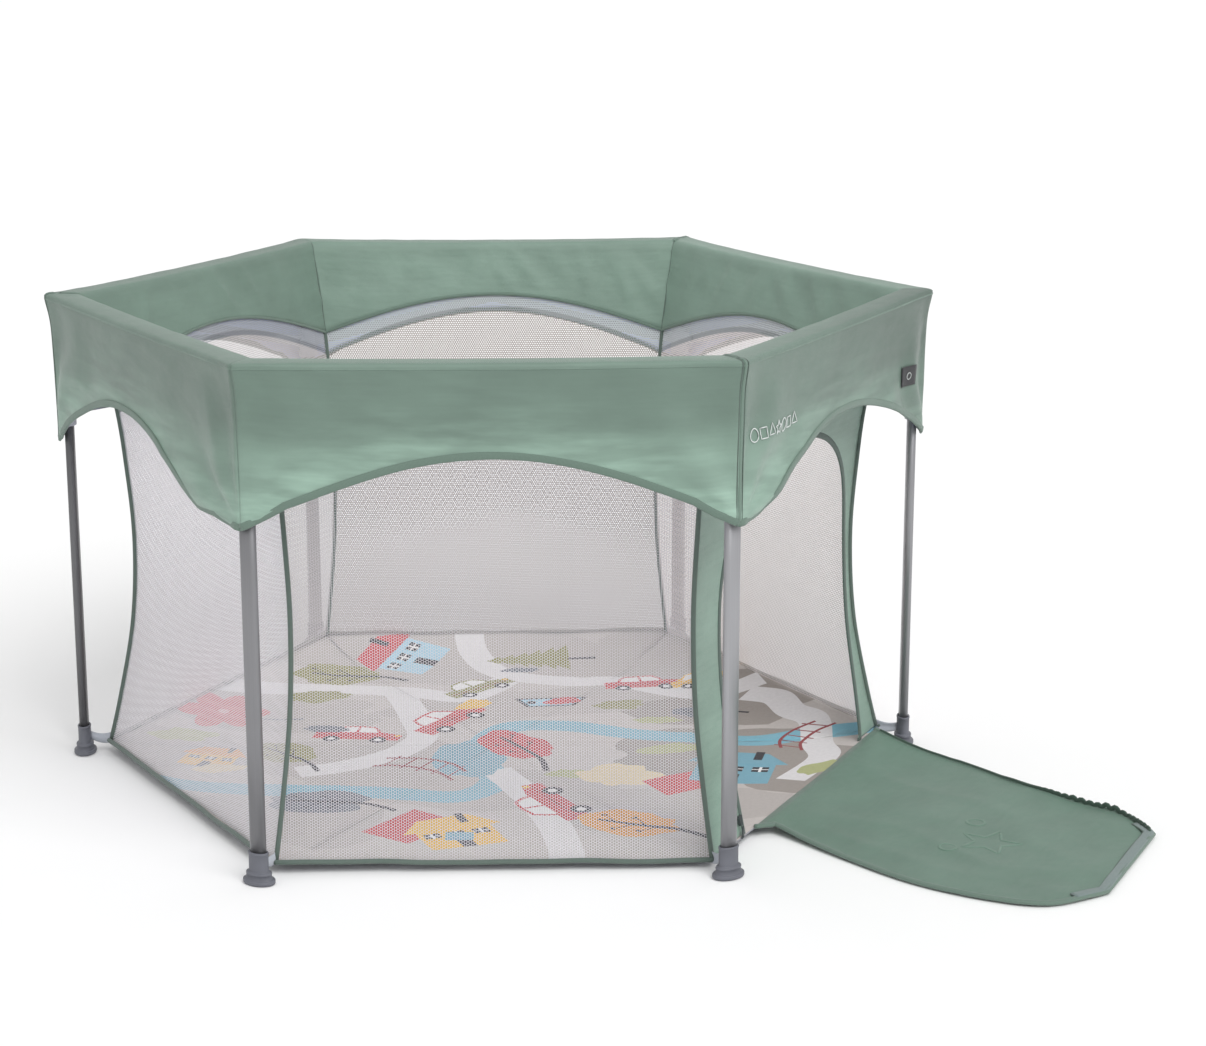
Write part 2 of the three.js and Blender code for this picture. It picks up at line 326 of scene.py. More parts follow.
def surface_uv(tree):
    """The sheet's own coordinates in metres, as three sockets: both, u and v."""
    uv = node(tree, "UVMap", uv_map="UVMap").outputs[0]
    apart = node(tree, "SeparateXYZ", {0: uv})
    return uv, apart.outputs[0], apart.outputs[1]


def stretched(tree, vector, scale, turn=0.0):
    return node(tree, "Mapping", {"Vector": vector, "Rotation": (0, 0, turn), "Scale": scale}).outputs[0]


def toned(tree, colour, amount):
    """A colour socket made lighter or darker by a value socket."""
    return node(tree, "VectorMath", {0: colour, "Scale": amount}, operation="SCALE").outputs[0]


def wave(tree, value, pitch):
    return maths(tree, "SINE", times(tree, value, 2 * math.pi / pitch))


def noise_at(tree, vector, scale, detail=2.0, roughness=0.5):
    inputs = {"Vector": vector, "Scale": scale, "Detail": detail, "Roughness": roughness}
    return node(tree, "TexNoise", inputs).outputs[0]


def blend_colours(tree, factor, low, high):
    mixed = node(tree, "Mix", data_type="RGBA")
    tree.links.new(factor, mixed.inputs[0])
    for socket, value in ((mixed.inputs[6], low), (mixed.inputs[7], high)):
        if isinstance(value, bpy.types.NodeSocket):
            tree.links.new(value, socket)
        else:
            socket.default_value = value
    return mixed.outputs[2]


def remap(tree, value, low, high, to_low=0.0, to_high=1.0):
    inputs = {"Value": value, 1: low, 2: high, 3: to_low, 4: to_high}
    return node(tree, "MapRange", inputs).outputs[0]


def bump(tree, principled, height, distance, strength=1.0):
    made = node(tree, "Bump", {"Height": height, "Distance": distance, "Strength": strength})
    tree.links.new(made.outputs[0], principled.inputs["Normal"])


def paint(tree, principled, colour):
    tree.links.new(colour, principled.inputs["Base Color"])


def linear(red, green, blue):
    """A colour given as the 0 to 255 values that a screen shows."""
    return (*(((c / 255 + 0.055) / 1.055) ** 2.4 if c > 10 else c / 3295 for c in (red, green, blue)), 1)


def tinted(colour, share):
    return (*(c * share for c in colour[:3]), 1)


def tone_stops(tree, value, stops):
    """A tone that runs through stops of (place, tone); the ramp holds halves, since a colour ends at 1."""
    start, end = stops[0][0], stops[-1][0]
    ramp = node(tree, "ValToRGB", {0: remap(tree, value, start, end)})
    ramp.color_ramp.interpolation = "EASE"
    while len(ramp.color_ramp.elements) < len(stops):
        ramp.color_ramp.elements.new(0.5)
    for stop, (place, amount) in zip(ramp.color_ramp.elements, stops):
        stop.position = (place - start) / (end - start)
        stop.color = (amount / 2, amount / 2, amount / 2, 1)
    return times(tree, ramp.outputs[0], 2.0)


WEAVE_PITCH = 0.0011


def make_fabric(name, colour, roughness=0.42, sheen=0.2, mottle=0.07, painted_light=None, lean=1.0):
    """Coated woven polyester: a fine plain weave, soft slubs and a satin sheen.

    painted_light gives stops of (place along v, tone): painted light and shade for cloth that catches
    more light in some stretches and lies in shade in others, and lean is its tone at the far end of its
    side, painted light and shade along it. Such cloth has a hem attribute, its distance from the lower
    edge, and near that edge it is crushed, with streaks of painted highlight lightened into its colour."""
    made, tree, principled = shader(
        name, Roughness=roughness, Sheen_Weight=sheen, Sheen_Roughness=0.35, Specular_IOR_Level=0.45
    )
    uv, u, v = surface_uv(tree)
    weave = times(tree, wave(tree, u, WEAVE_PITCH), wave(tree, v, WEAVE_PITCH))
    slubs = noise_at(tree, stretched(tree, uv, (10, 160, 1)), 1.0, 2)
    cloudy = noise_at(tree, uv, 7.0, 4, 0.6)
    crushed = noise_at(tree, stretched(tree, uv, (9, 16, 1), 0.5), 1.0, 3, 0.5)
    tone = plus(tree, times(tree, cloudy, 0.5), times(tree, slubs, 0.2))
    tone = remap(tree, plus(tree, tone, times(tree, crushed, 0.5)), 0.3, 0.9)
    shade = blend_colours(tree, tone, tinted(colour, 1 - 2 * mottle), tinted(colour, 1 + 2.6 * mottle))
    if painted_light:
        # Painted light and shade: tone stops across the cloth, painted highlight streaks near the hem, and a
        # tone that leans along the side.
        hem = node(tree, "Attribute", attribute_name="hem").outputs["Fac"]
        near = remap(tree, hem, 0.0, 0.1, 1.0, 0.0)
        # Painted highlight: crushed satin streaks lightened into the colour near the hem.
        creased = noise_at(tree, stretched(tree, uv, (8, 44, 1), -0.3), 1.0, 3, 0.5)
        painted_highlight = times(tree, times(tree, near, remap(tree, creased, 0.42, 0.78)), 0.7)
        tones = times(tree, plus(tree, painted_highlight, 1.0), tone_stops(tree, v, painted_light))
        # Painted light and shade along the side: the tone runs from one at the first corner to lean at the
        # second.
        shade = toned(tree, shade, times(tree, tones, remap(tree, u, -0.3, 0.3, 1.0, lean)))
    paint(tree, principled, toned(tree, shade, remap(tree, weave, -1, 1, 0.93, 1.0)))
    height = plus(tree, times(tree, weave, 0.5), times(tree, slubs, 1.6))
    bump(tree, principled, plus(tree, height, times(tree, crushed, 36.0)), 0.00012)
    return made


NET_PITCH = 0.0033  # distance between the net's rows of holes


def make_net(name, colour, painted_lining_tone, threads_to, upright=True):
    """Knitted net: round holes in staggered rows, see-through by their share of the cloth.

    threads_to is where the threads end and the holes start: the higher, the closer the net.
    The rows of holes run up the wall, or along it.
    painted_lining_tone is its colour in front of the valance's lining, painted light and shade there, and
    darker in front of the valance's hem, a painted shade. The hem attribute is the height above the valance's
    lower edge."""
    made, tree, principled = shader(name, Roughness=0.75, Sheen_Weight=0.2, Sheen_Roughness=0.5)
    uv, u, v = surface_uv(tree)
    first, second = (u, v) if upright else (v, u)
    half = times(tree, first, 0.5)
    slant = times(tree, second, 0.866)
    holes = wave(tree, plus(tree, first, NET_PITCH / 4), NET_PITCH)
    for tilted in (plus(tree, half, slant), maths(tree, "SUBTRACT", half, slant)):
        holes = plus(tree, holes, wave(tree, plus(tree, tilted, NET_PITCH / 4), NET_PITCH))
    threads = remap(tree, holes, threads_to - 0.15, threads_to + 0.15, 1.0, 0.0)
    tree.links.new(threads, principled.inputs["Alpha"])
    cloudy = noise_at(tree, uv, 30.0, 2)
    shade = blend_colours(tree, cloudy, tinted(colour, 0.94), tinted(colour, 1.05))
    hem = node(tree, "Attribute", attribute_name="hem").outputs["Fac"]
    # Painted light and shade: the threads in front of the lining take its tone, with painted shade in front
    # of the hem.
    painted_lining_shading = blend_colours(tree, remap(tree, hem, 0.02, 0.022), tinted(painted_lining_tone, 0.62), painted_lining_tone)
    paint(tree, principled, blend_colours(tree, remap(tree, hem, 0.012, 0.014), shade, painted_lining_shading))
    bump(tree, principled, holes, 0.0002, 0.6)
    return made


def make_print(name):
    """Printed polyester: the print is the sheet's own colour, over a plain weave."""
    made, tree, principled = shader(name, Roughness=0.8, Sheen_Weight=0.15, Specular_IOR_Level=0.3)
    uv, u, v = surface_uv(tree)
    ink = node(tree, "Attribute", attribute_name="print").outputs[0]
    weave = times(tree, wave(tree, u, 0.0013), wave(tree, v, 0.0013))
    worn = remap(tree, noise_at(tree, uv, 160.0, 3), 0.3, 0.7, -0.05, 0.03)
    paint(tree, principled, toned(tree, ink, plus(tree, remap(tree, weave, -1, 1, 0.93, 1.0), worn)))
    bump(tree, principled, weave, 0.00012)
    return made


def smudge(tree, principled, worn, roughness):
    uneven = remap(tree, worn, 0.3, 0.7, roughness - 0.06, roughness + 0.08)
    tree.links.new(uneven, principled.inputs["Roughness"])


def make_metal(name, colour, roughness=0.36, metallic=0.85):
    """Satin anodised aluminium, drawn along its length."""
    made, tree, principled = shader(name, Metallic=metallic)
    place = node(tree, "TexCoord").outputs["Object"]
    streaks = noise_at(tree, stretched(tree, place, (900, 900, 6)), 1.0, 3)
    paint(tree, principled, blend_colours(tree, streaks, tinted(colour, 0.9), tinted(colour, 1.08)))
    smudge(tree, principled, noise_at(tree, place, 14.0, 3), roughness)
    bump(tree, principled, streaks, 0.00003)
    return made


def make_plastic(name, colour, roughness=0.5):
    """Moulded plastic with a fine spark-eroded grain."""
    made, tree, principled = shader(name, Specular_IOR_Level=0.45)
    place = node(tree, "TexCoord").outputs["Object"]
    grain = noise_at(tree, place, 1400.0, 3)
    worn = noise_at(tree, place, 45.0, 4)
    paint(tree, principled, blend_colours(tree, worn, tinted(colour, 0.9), tinted(colour, 1.1)))
    smudge(tree, principled, worn, roughness)
    bump(tree, principled, grain, 0.00008)
    return made


def make_tape(name, colour, rib=0.0016):
    """Ribbed webbing tape, its ribs across it."""
    made, tree, principled = shader(name, Roughness=0.7, Sheen_Weight=0.25)
    uv, _, v = surface_uv(tree)
    ribs = wave(tree, v, rib)
    fuzz = noise_at(tree, uv, 700.0, 2)
    tone = plus(tree, times(tree, ribs, 0.25), fuzz)
    paint(tree, principled, blend_colours(tree, tone, tinted(colour, 0.8), tinted(colour, 1.15)))
    bump(tree, principled, plus(tree, ribs, times(tree, fuzz, 0.8)), 0.00015)
    return made


GREEN = linear(124, 148, 135)
INKS = {
    "ground": linear(200, 193, 189),
    "shade": linear(160, 152, 146),
    "haze": linear(188, 181, 177),
    "road": linear(228, 225, 226),
    "river": linear(128, 184, 202),
    "red": linear(206, 76, 78),
    "dark_red": linear(150, 62, 66),
    "blue": linear(122, 172, 190),
    "sky": linear(168, 208, 226),
    "yellow": linear(236, 190, 74),
    "orange": linear(228, 162, 66),
    "olive": linear(150, 148, 92),
    "moss": linear(178, 182, 128),
    "stone": linear(116, 122, 132),
    "dark": linear(48, 46, 52),
    "cream": linear(226, 208, 168),
    "white": linear(240, 238, 238),
    "pink": linear(226, 178, 178),
}

# Painted light and shade across a band, by place along v from the crest (the inner face below nought, the
# outer face above): a lighter inner face, a darker upper outer face and a lighter lower outer face towards
# the hem.
BAND_PAINTED_LIGHT = (
    (-0.16, 1.04),
    (-0.06, 1.1),
    (-0.02, 1.0),
    (0.018, 0.86),
    (0.03, 0.72),
    (0.09, 0.73),
    (0.16, 1.08),
    (0.23, 1.26),
)
# Each side's cloth is a lighter or darker copy of the green, painted light and shade side by side:
# its tone at its first corner, and how much darker or lighter it is at its second, painted light and shade
# along the side.
BAND_PAINTED_TONES = {
    "front": (0.98, 1.08),
    "door": (1.0, 0.64),
    "back_right": (1.12, 1.0),
    "back": (0.98, 1.0),
    "back_left": (0.82, 1.0),
    "front_left": (0.9, 1.0),
}
green_fabrics = {
    side: make_fabric(f"green_fabric_{side}", tinted(GREEN, tone), painted_light=BAND_PAINTED_LIGHT, lean=lean)
    for side, (tone, lean) in BAND_PAINTED_TONES.items()
}
ridge_fabric = make_fabric("ridge_fabric", tinted(GREEN, 0.8))
LEAF_GREEN = linear(117, 149, 132)
# The leaf's cloth is a darkened copy of its green: painted shade.
leaf_fabric = make_fabric("leaf_fabric", tinted(LEAF_GREEN, 0.72), sheen=0.22)
# The relief's cloth is darkened less, so it is lighter than the leaf: a painted highlight on its raised
# shapes.
emboss_fabric = make_fabric("embossed_fabric", tinted(LEAF_GREEN, 0.82), sheen=0.22)
# The door wall's strip is a lighter copy of the green: painted light on cloth that lies in shade, with a
# stronger mottle as painted sheen.
strip_fabric = make_fabric("strip_fabric", tinted(GREEN, 1.2), roughness=0.36, mottle=0.14)
lining_fabric = make_fabric("grey_lining", linear(204, 212, 242), roughness=0.7, sheen=0.1)
backing_fabric = make_fabric("floor_backing", linear(150, 152, 158), roughness=0.7, sheen=0.1)
binding_tape = make_tape("green_binding", linear(104, 126, 114))
piping_tape = make_tape("green_piping", linear(92, 108, 100))
zip_tape = make_tape("zip_tape", linear(78, 96, 88), rib=0.0024)
leaf_zip_tape = make_tape("leaf_zip_tape", linear(62, 84, 72), rib=0.0024)
tip_tape = make_tape("leaf_tip_tape", linear(122, 138, 136))
# The front walls' net tone in front of the lining: painted shade.
FRONT_PAINTED_LINING_TONE = linear(206, 212, 214)
# Each wall's net: its colour, lighter or darker wall by wall as painted light and shade; its colour in front
# of the lining, also painted light and shade; how close its threads are, and whether its rows of holes run up
# the wall.
NETS = {
    "front": make_net("front_net", linear(225, 222, 228), FRONT_PAINTED_LINING_TONE, -0.88),
    "front_left": make_net("left_net", linear(238, 235, 242), FRONT_PAINTED_LINING_TONE, -0.05),
    "back_left": make_net("back_left_net", linear(204, 199, 200), linear(172, 176, 184), 0.5, False),
    "back": make_net("back_net", linear(178, 170, 167), linear(208, 215, 218), 0.3, False),
    "back_right": make_net("back_right_net", linear(250, 242, 242), linear(214, 220, 224), 0.6, False),
}
print_cloth = make_print("floor_print")
# Each leg's metal is a lighter or darker copy of one aluminium: painted light and shade, leg by leg.
TUBE_PAINTED_LIGHT = (0.84, 1.24, 1.1, 1.0, 1.0, 0.5)
tube_metals = {
    name: make_metal(f"leg_aluminium_{name}", tinted(linear(150, 150, 153), tone), 0.38, 0.6)
    for name, tone in zip(CORNERS, TUBE_PAINTED_LIGHT)
}
bar_metal = make_metal("bar_aluminium", linear(170, 172, 178), 0.42)
grey_plastic = make_plastic("grey_plastic", linear(104, 106, 114))
pale_plastic = make_plastic("pale_plastic", linear(196, 199, 206), 0.45)
dark_plastic = make_plastic("dark_plastic", linear(60, 62, 66), 0.45)
zip_metal = make_metal("zip_metal", linear(92, 96, 98), 0.42, 0.7)
tie_web = make_tape("tie_webbing", linear(184, 189, 198))
thread_white = make_tape("white_thread", linear(226, 232, 230), rib=0.0012)
tag_cloth = make_tape("tag_cloth", linear(44, 44, 48), rib=0.0009)


def dress(piece, material):
    piece.data.materials.clear()
    piece.data.materials.append(material)
    return piece


def cord(name, path, section, upward, material, closed=False):
    """A swept piece with its material."""
    piece = dress(sweep(name, path, section, upward, closed), material)
    return piece


# ---- Riding ----


def close_up(piece):
    """The piece gets its own copy of its mesh."""
    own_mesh(piece)


def gather(piece, side):
    """A side's cloth goes with the side's first leg, and gets its own copy of its mesh."""
    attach(piece, f"leg_{CORNERS[side]}")
    close_up(piece)


# ---- Top band ----

INNER_ROWS, TOP_ROWS, OUTER_ROWS = 14, 9, 30
BAND_EDGE = 0.008  # radius of the rolled top edges
BAND_CORNER = 0.013  # radius of the band's outer corners
SEAM_CORNER = 0.003  # and of its inner ones
TUCK = 0.0035  # how far the valance's lower corners hang in
EAR = 0.006  # and its top corners stand out
DROOP = 0.009  # how far the valance's lower corners hang below its arch's feet


def outer_edge(side, along):
    """Height of a valance's lower edge."""
    droop = DROOP * max(0.0, 1 - (BAND_REACH - abs(along)) / 0.06) ** 0.7
    shape = {"front_left": LEFT_ARCH, "door": DOOR_ARCH}.get(SIDES[side], OUTER_ARCH)
    return arch(shape, along) - droop


def sag(share):
    """The band's top edge hangs a little between the corners."""
    return 0.003 * (1 - share**2)


def outer_folds(side, along, z):
    """How far the outer cloth stands off its plane: long soft creases towards the lower corners."""
    depth = (BAND_TOP - z) / (BAND_TOP - OUTER_ARCH["low"])
    total = 0.003 * depth * ripple(along * 7, z * 9, side + 1)
    total += 0.0012 * crease(along * 4, z * 22 + along * 3, side + 13)
    total += 0.0022 * depth * crease(along * 3 + z * 4, z * 16 - along * 2, side + 11)
    for end in (-1, 1):
        dx, dz = end * BAND_REACH - along, z - OUTER_ARCH["low"]
        away = math.hypot(dx, dz)
        angle = math.atan2(dz, max(dx * end, 1e-4))
        fan = math.exp(-(((away - 0.11) / 0.095) ** 2))
        total += 0.0042 * fan * math.sin(8 * angle + 2.5 * ripple(away * 9, side * 3, end + 3))
        total += 0.0014 * fan * crease(angle * 2.5, away * 6, side * 2 + end + 71)
    pinned = min(1.0, max(0.0, (BAND_REACH - abs(along)) / 0.02))
    total += 0.0045 * math.exp(-(((z - 0.545) / 0.05) ** 2)) * math.cos(math.pi / 2 * along / BAND_REACH)
    return max(total, -0.003) * pinned


def tuck(share, z):
    """The valance's corners hang in towards the legs below the frame's hubs."""
    below = min(1.0, max(0.0, (BAND_TOP - 0.012 - z) / 0.17))
    near = max(0.0, (share - 0.6) / 0.4) ** 2
    return near * (TUCK * below**0.7 - EAR * math.exp(-(((BAND_TOP - z) / 0.03) ** 2)))


def hang_in(out, along, share, z, amount=1.0):
    """A place on a band's outside, moved in or out with its corner."""
    shift = tuck(abs(share), z) * amount
    return out - shift, along - shift * TAN30 * math.copysign(1, share)


def inner_folds(side, along, z):
    """How far the inner cloth stands off its plane: slack between its lower edge and the top."""
    low = arch(INNER_ARCH, along)
    slack = math.sin(math.pi * min(1.0, max(0.0, (z - low) / (BAND_TOP - low))))
    lean = along * 16 + z * 9 * math.copysign(1, along)
    total = 0.004 * slack * (crease(lean, z * 4, side + 21) - 0.35)
    total += 0.0025 * slack * ripple(along * 9, z * 9, side + 31)
    return total + 0.0012 * slack * ripple(along * 32, z * 14, side + 33)


def band_column(side, share):
    """The points of one column of a band, from its inner lower edge over the top to its outer lower edge."""
    points = []
    inside = bag_out(BAND_TOP) - 0.0008
    low = arch(INNER_ARCH, share * inside * TAN30)
    for z in np.linspace(low, BAND_TOP - BAND_EDGE, INNER_ROWS):
        out, along = at_corner(bag_out(z) - 0.0008, share, SEAM_CORNER)
        rise = (z - low) / (BAND_TOP - low)
        points.append((out - inner_folds(side, along, z), along, z - sag(share) * rise))
    for k in range(1, TOP_ROWS + 1):
        turn = math.pi * k / (TOP_ROWS + 1)
        square = (abs(math.cos(turn)) ** 0.45) * math.copysign(1, -math.cos(turn))
        crown = BAND_TOP - BAND_EDGE + (BAND_EDGE - 0.0008) * abs(math.sin(turn)) ** 0.45
        radius = SEAM_CORNER + (BAND_CORNER - SEAM_CORNER) * k / TOP_ROWS
        out = (inside + BAND_FACE) / 2 + (BAND_FACE - inside) / 2 * square
        out, along = at_corner(out, share, radius)
        out, along = hang_in(out, along, share, BAND_TOP, k / TOP_ROWS)
        points.append((out, along, crown - sag(share) + 0.0006 * ripple(along * 30, k / 3, side)))
    for z_share in np.linspace(0, 1, OUTER_ROWS):
        out, along = at_corner(BAND_FACE, share, BAND_CORNER)
        low = outer_edge(side, along)
        z = BAND_TOP - BAND_EDGE + (low - BAND_TOP + BAND_EDGE) * z_share
        out += outer_folds(side, along, z)
        out, along = hang_in(out, along, share, z)
        points.append((out, along, z - sag(share) * (1 - z_share)))
    return [side_axes[side] @ Vector(p) for p in points]


def on_band(side, along, z, lift_off):
    """A place on a valance's outer face."""
    out = BAND_FACE + outer_folds(side, along, z) + lift_off
    return side_axes[side] @ Vector((*hang_in(out, along, along / BAND_REACH, z), z))


def outline_shape(kind, size):
    """A little outlined shape, as (along, height) offsets."""
    if kind == "circle":
        return [(size * math.cos(TURN * k / 3), size * math.sin(TURN * k / 3)) for k in range(18)]
    corners = {"square": 4, "triangle": 3, "star": 10}[kind]
    points = []
    for k in range(corners):
        angle = math.pi / 2 + 2 * math.pi * (k + (0.5 if kind == "square" else 0)) / corners
        reach = size * (0.5 if kind == "star" and k % 2 else 1.12)
        points.append((reach * math.cos(angle), reach * math.sin(angle)))
    line = []
    for a, b in zip(points, points[1:] + points[:1]):
        line += [(a[0] + (b[0] - a[0]) * t / 3, a[1] + (b[1] - a[1]) * t / 3) for t in range(3)]
    return line


def make_door_marks(outward):
    """A row of outlined shapes printed low on the door side's valance, and a dark woven tag."""

    def outlined(name, kind, along, z, size, section, lift_off):
        path = [on_band(DOOR, along + a, z + b, lift_off) for a, b in outline_shape(kind, size)]
        return cord(name, path, section, outward, thread_white, closed=True)

    marks = []
    print_line = ellipse(0.0009, 0.0005, 6)
    for k, kind in enumerate(("circle", "square", "triangle", "star", "circle", "square", "triangle")):
        along = -0.292 + 0.0205 * k
        marks.append(outlined(f"printed_{kind}_{k}", kind, along, 0.612, 0.009, print_line, 0.0018))
    lines = []
    for z in np.linspace(0.585, 0.615, 8):
        lines.append([on_band(DOOR, a, z, 0.0026) for a in np.linspace(0.226, 0.264, 9)])
    uv_lines = [[(i * 0.0045, j * 0.004) for i in range(9)] for j in range(8)]
    tag = dress(grid("woven_tag", lines, uv_lines), tag_cloth)
    thicken(tag, 0.0008)
    ring_line = ellipse(0.0006, 0.0004, 6)
    return [*marks, tag, outlined("tag_ring", "circle", 0.245, 0.6, 0.005, ring_line, 0.0034)]


def make_band(side):
    name = SIDES[side]
    shares = columns(74)
    lines = [band_column(side, share) for share in shares]
    uv_lines = []
    for share, line in zip(shares, lines):
        lengths = lengths_along(line)
        crest = lengths[INNER_ROWS + TOP_ROWS // 2]
        uv_lines.append([(share * BAND_REACH, length - crest) for length in lengths])
    band = dress(grid(f"band_{name}", lines, uv_lines), green_fabrics[name])
    top_row = INNER_ROWS + TOP_ROWS
    # The hem attribute, each point's height above the valance's lower edge, places the painted highlight
    # streaks near the hem.
    far_from_hem = 0.25
    hems = []
    for line in lines:
        hems += [far_from_hem] * top_row + [point.z - line[-1].z for point in line[top_row:]]
    band.data.attributes.new("hem", "FLOAT", "POINT").data.foreach_set("value", hems)
    thicken(band, 0.0014)
    band.modifiers[0].material_offset = 1
    band.data.materials.append(lining_fabric)
    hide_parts(f"top_band_{name}")

    outward = way(side_axes[side], 1, 0)
    pieces = []
    for kind, line, section, material in (
        ("binding", [line[-1] + UPWARD * 0.0038 for line in lines], tape(0.0053, 0.0042), binding_tape),
        ("hem", [line[0] + UPWARD * 0.001 for line in lines], tape(0.002, 0.002), binding_tape),
        ("ridge", [line[top_row] for line in lines], ellipse(0.0014, 0.0014, 8), ridge_fabric),
    ):
        pieces.append(cord(f"band_{kind}_{name}", line, section, outward, material))
    if side == DOOR:
        pieces += make_door_marks(outward)
    for piece in pieces:
        gather(piece, side)
    gather(band, side)


def make_welt(n):
    """A plain seam inside a corner of the band, and outside, at every other corner, a raised welt."""
    name = CORNERS[n]
    column = band_column(n, -1)
    outward, across = way(corner_axes[n], 1, 0), way(corner_axes[n], 0, 1)
    strands = [(f"inner_seam_{name}", column[: INNER_ROWS + 1], 0.0, 0.0011, 0.0011, across, piping_tape)]
    if n % 2:
        path = column[INNER_ROWS:]
        strands += [
            (f"welt_{name}_-42", path, -0.0042, 0.0008, 0.0014, outward, piping_tape),
            (f"welt_{name}_0", path, 0.0, 0.0026, 0.0024, outward, ridge_fabric),
            (f"welt_{name}_42", path, 0.0042, 0.0008, 0.0014, outward, piping_tape),
        ]
    for strand_name, path, aside, half_wide, half_thick, upward, material in strands:
        line = [point + across * aside for point in path]
        strand = cord(strand_name, line, ellipse(half_wide, half_thick, 8), upward, material)
        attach(strand, f"leg_{name}")


# ---- Mesh walls, the door wall and their piping ----

WALL_TUCK = 0.008  # how far a wall runs up behind the band's inner face


def wall_point(side, share, z):
    """A place on a wall, which sways a little and lies flat against the band near its top."""
    out, along = at_corner(bag_out(z) + 0.001, share, 0.004)
    free = min(1.0, max(0.0, (arch(INNER_ARCH, along) - z) / 0.06))
    sway = 0.0025 * free * math.cos(share * math.pi / 2) * ripple(along * 6, z * 2, side + 41)
    return side_axes[side] @ Vector((out + sway + 0.0012 * (1 - free), along, z))


def make_wall(side):
    name = SIDES[side]
    shares = columns(48)
    lines, uv_lines, hems = [], [], []
    for share in shares:
        top = arch(INNER_ARCH, share * bag_out(0.6) * TAN30) + WALL_TUCK
        line = [wall_point(side, share, z) for z in np.linspace(lift(side, share), top, 40)]
        lines.append(line)
        uv_lines.append([(share * bag_out(BAG_FOOT[1] + v) * TAN30, v) for v in lengths_along(line)])
        # Each point's height above the valance's lower edge, which places the net's painted lining tone.
        hems += [point.z - outer_edge(side, share * bag_out(point.z) * TAN30) for point in line]
    wall = dress(grid(f"wall_{name}", lines, uv_lines), NETS[name])
    wall.data.attributes.new("hem", "FLOAT", "POINT").data.foreach_set("value", hems)
    finish_wall(wall, side)


def finish_wall(wall, side):
    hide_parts(f"mesh_wall_{SIDES[side]}")
    gather(wall, side)


def panel(outline, spacing, holes=(), shapes=()):
    """A flat outline cut into triangles along its own edge, its holes' and its shapes'.

    It gives the points, the triangles, and for each triangle the shape on top (or -1)."""
    points, faces = [], []
    for loop in (outline, *holes, *shapes):
        start = len(points)
        turn = sum(a[0] * b[1] - b[0] * a[1] for a, b in zip(loop, [*loop[1:], loop[0]]))
        points += [Vector(p) for p in (loop if turn > 0 else loop[::-1])]
        faces.append(list(range(start, len(points))))
    low_x, high_x = min(p[0] for p in outline), max(p[0] for p in outline)
    low_y, high_y = min(p[1] for p in outline), max(p[1] for p in outline)
    for i, x in enumerate(np.arange(low_x, high_x, spacing)):
        for y in np.arange(low_y + (i % 2) * spacing / 2, high_y, spacing):
            points.append(Vector((x, y)))
    found = delaunay_2d_cdt(points, [], faces, 1, 1e-6)
    made_points, made_faces, origins = found[0], found[2], found[5]
    kept, tops = [], []
    for face, source in zip(made_faces, origins):
        if 0 not in source or any(k in source for k in range(1, 1 + len(holes))):
            continue
        kept.append(tuple(face))
        tops.append(max(source) - 1 - len(holes))
    used = sorted({v for face in kept for v in face})
    number = {v: k for k, v in enumerate(used)}
    return [made_points[v] for v in used], [tuple(number[v] for v in face) for face in kept], tops


def doorway_outline(grow=0.0, count=24):
    """The doorway's edge from the bottom right over the top to the bottom left, as (along, height)."""
    right = []
    for k in range(count + 1):
        share = math.sin(math.pi / 2 * k / count)
        half = (DOORWAY["half"] + grow) * math.sqrt(max(0.0, 1 - share**8))
        right.append((half, (DOORWAY["height"] + grow) * share))
    left = [(-a, z) for a, z in reversed(right[:-1])]
    right = [(a - DOORWAY["flare"] * math.exp(-z / 0.06), z) for a, z in right]
    return [(DOORWAY["centre"] + a, max(z, lift(DOOR, a / 0.3))) for a, z in right + left]


def make_door_wall():
    """The door side's wall: cloth round the doorway, whose edge carries the zip."""
    right = [(bag_out(z) * TAN30, z) for z in np.linspace(lift(DOOR, 1), INNER_ARCH["low"], 24)]
    left = [(-bag_out(z) * TAN30, z) for z in np.linspace(INNER_ARCH["low"], lift(DOOR, -1), 24)]
    width = right[-1][0]
    top = [(a, arch(INNER_ARCH, a) + WALL_TUCK) for a in np.linspace(width, -width, 30)]
    outline = right[:-1] + top + left[1:]
    hole = doorway_outline()
    closed = [(hole[0][0], -0.02), *hole, (hole[-1][0], -0.02)]
    points, faces, _ = panel(outline, holes=[closed], spacing=0.012)
    placed = [wall_point(DOOR, a / (bag_out(z) * TAN30), z) for a, z in points]
    uvs = [tuple(p) for p in points]
    wall = dress(add_object("wall_door", placed, faces, uvs), strip_fabric)
    thicken(wall, 0.0012)
    finish_wall(wall, DOOR)

    edge = [wall_point(DOOR, a / (bag_out(z) * TAN30), z) for a, z in doorway_outline(0.002, 40)]
    outward = way(side_axes[DOOR], 1, 0)
    gather(cord("doorway_zip_tape", edge, tape(0.0048, 0.003), outward, zip_tape), DOOR)


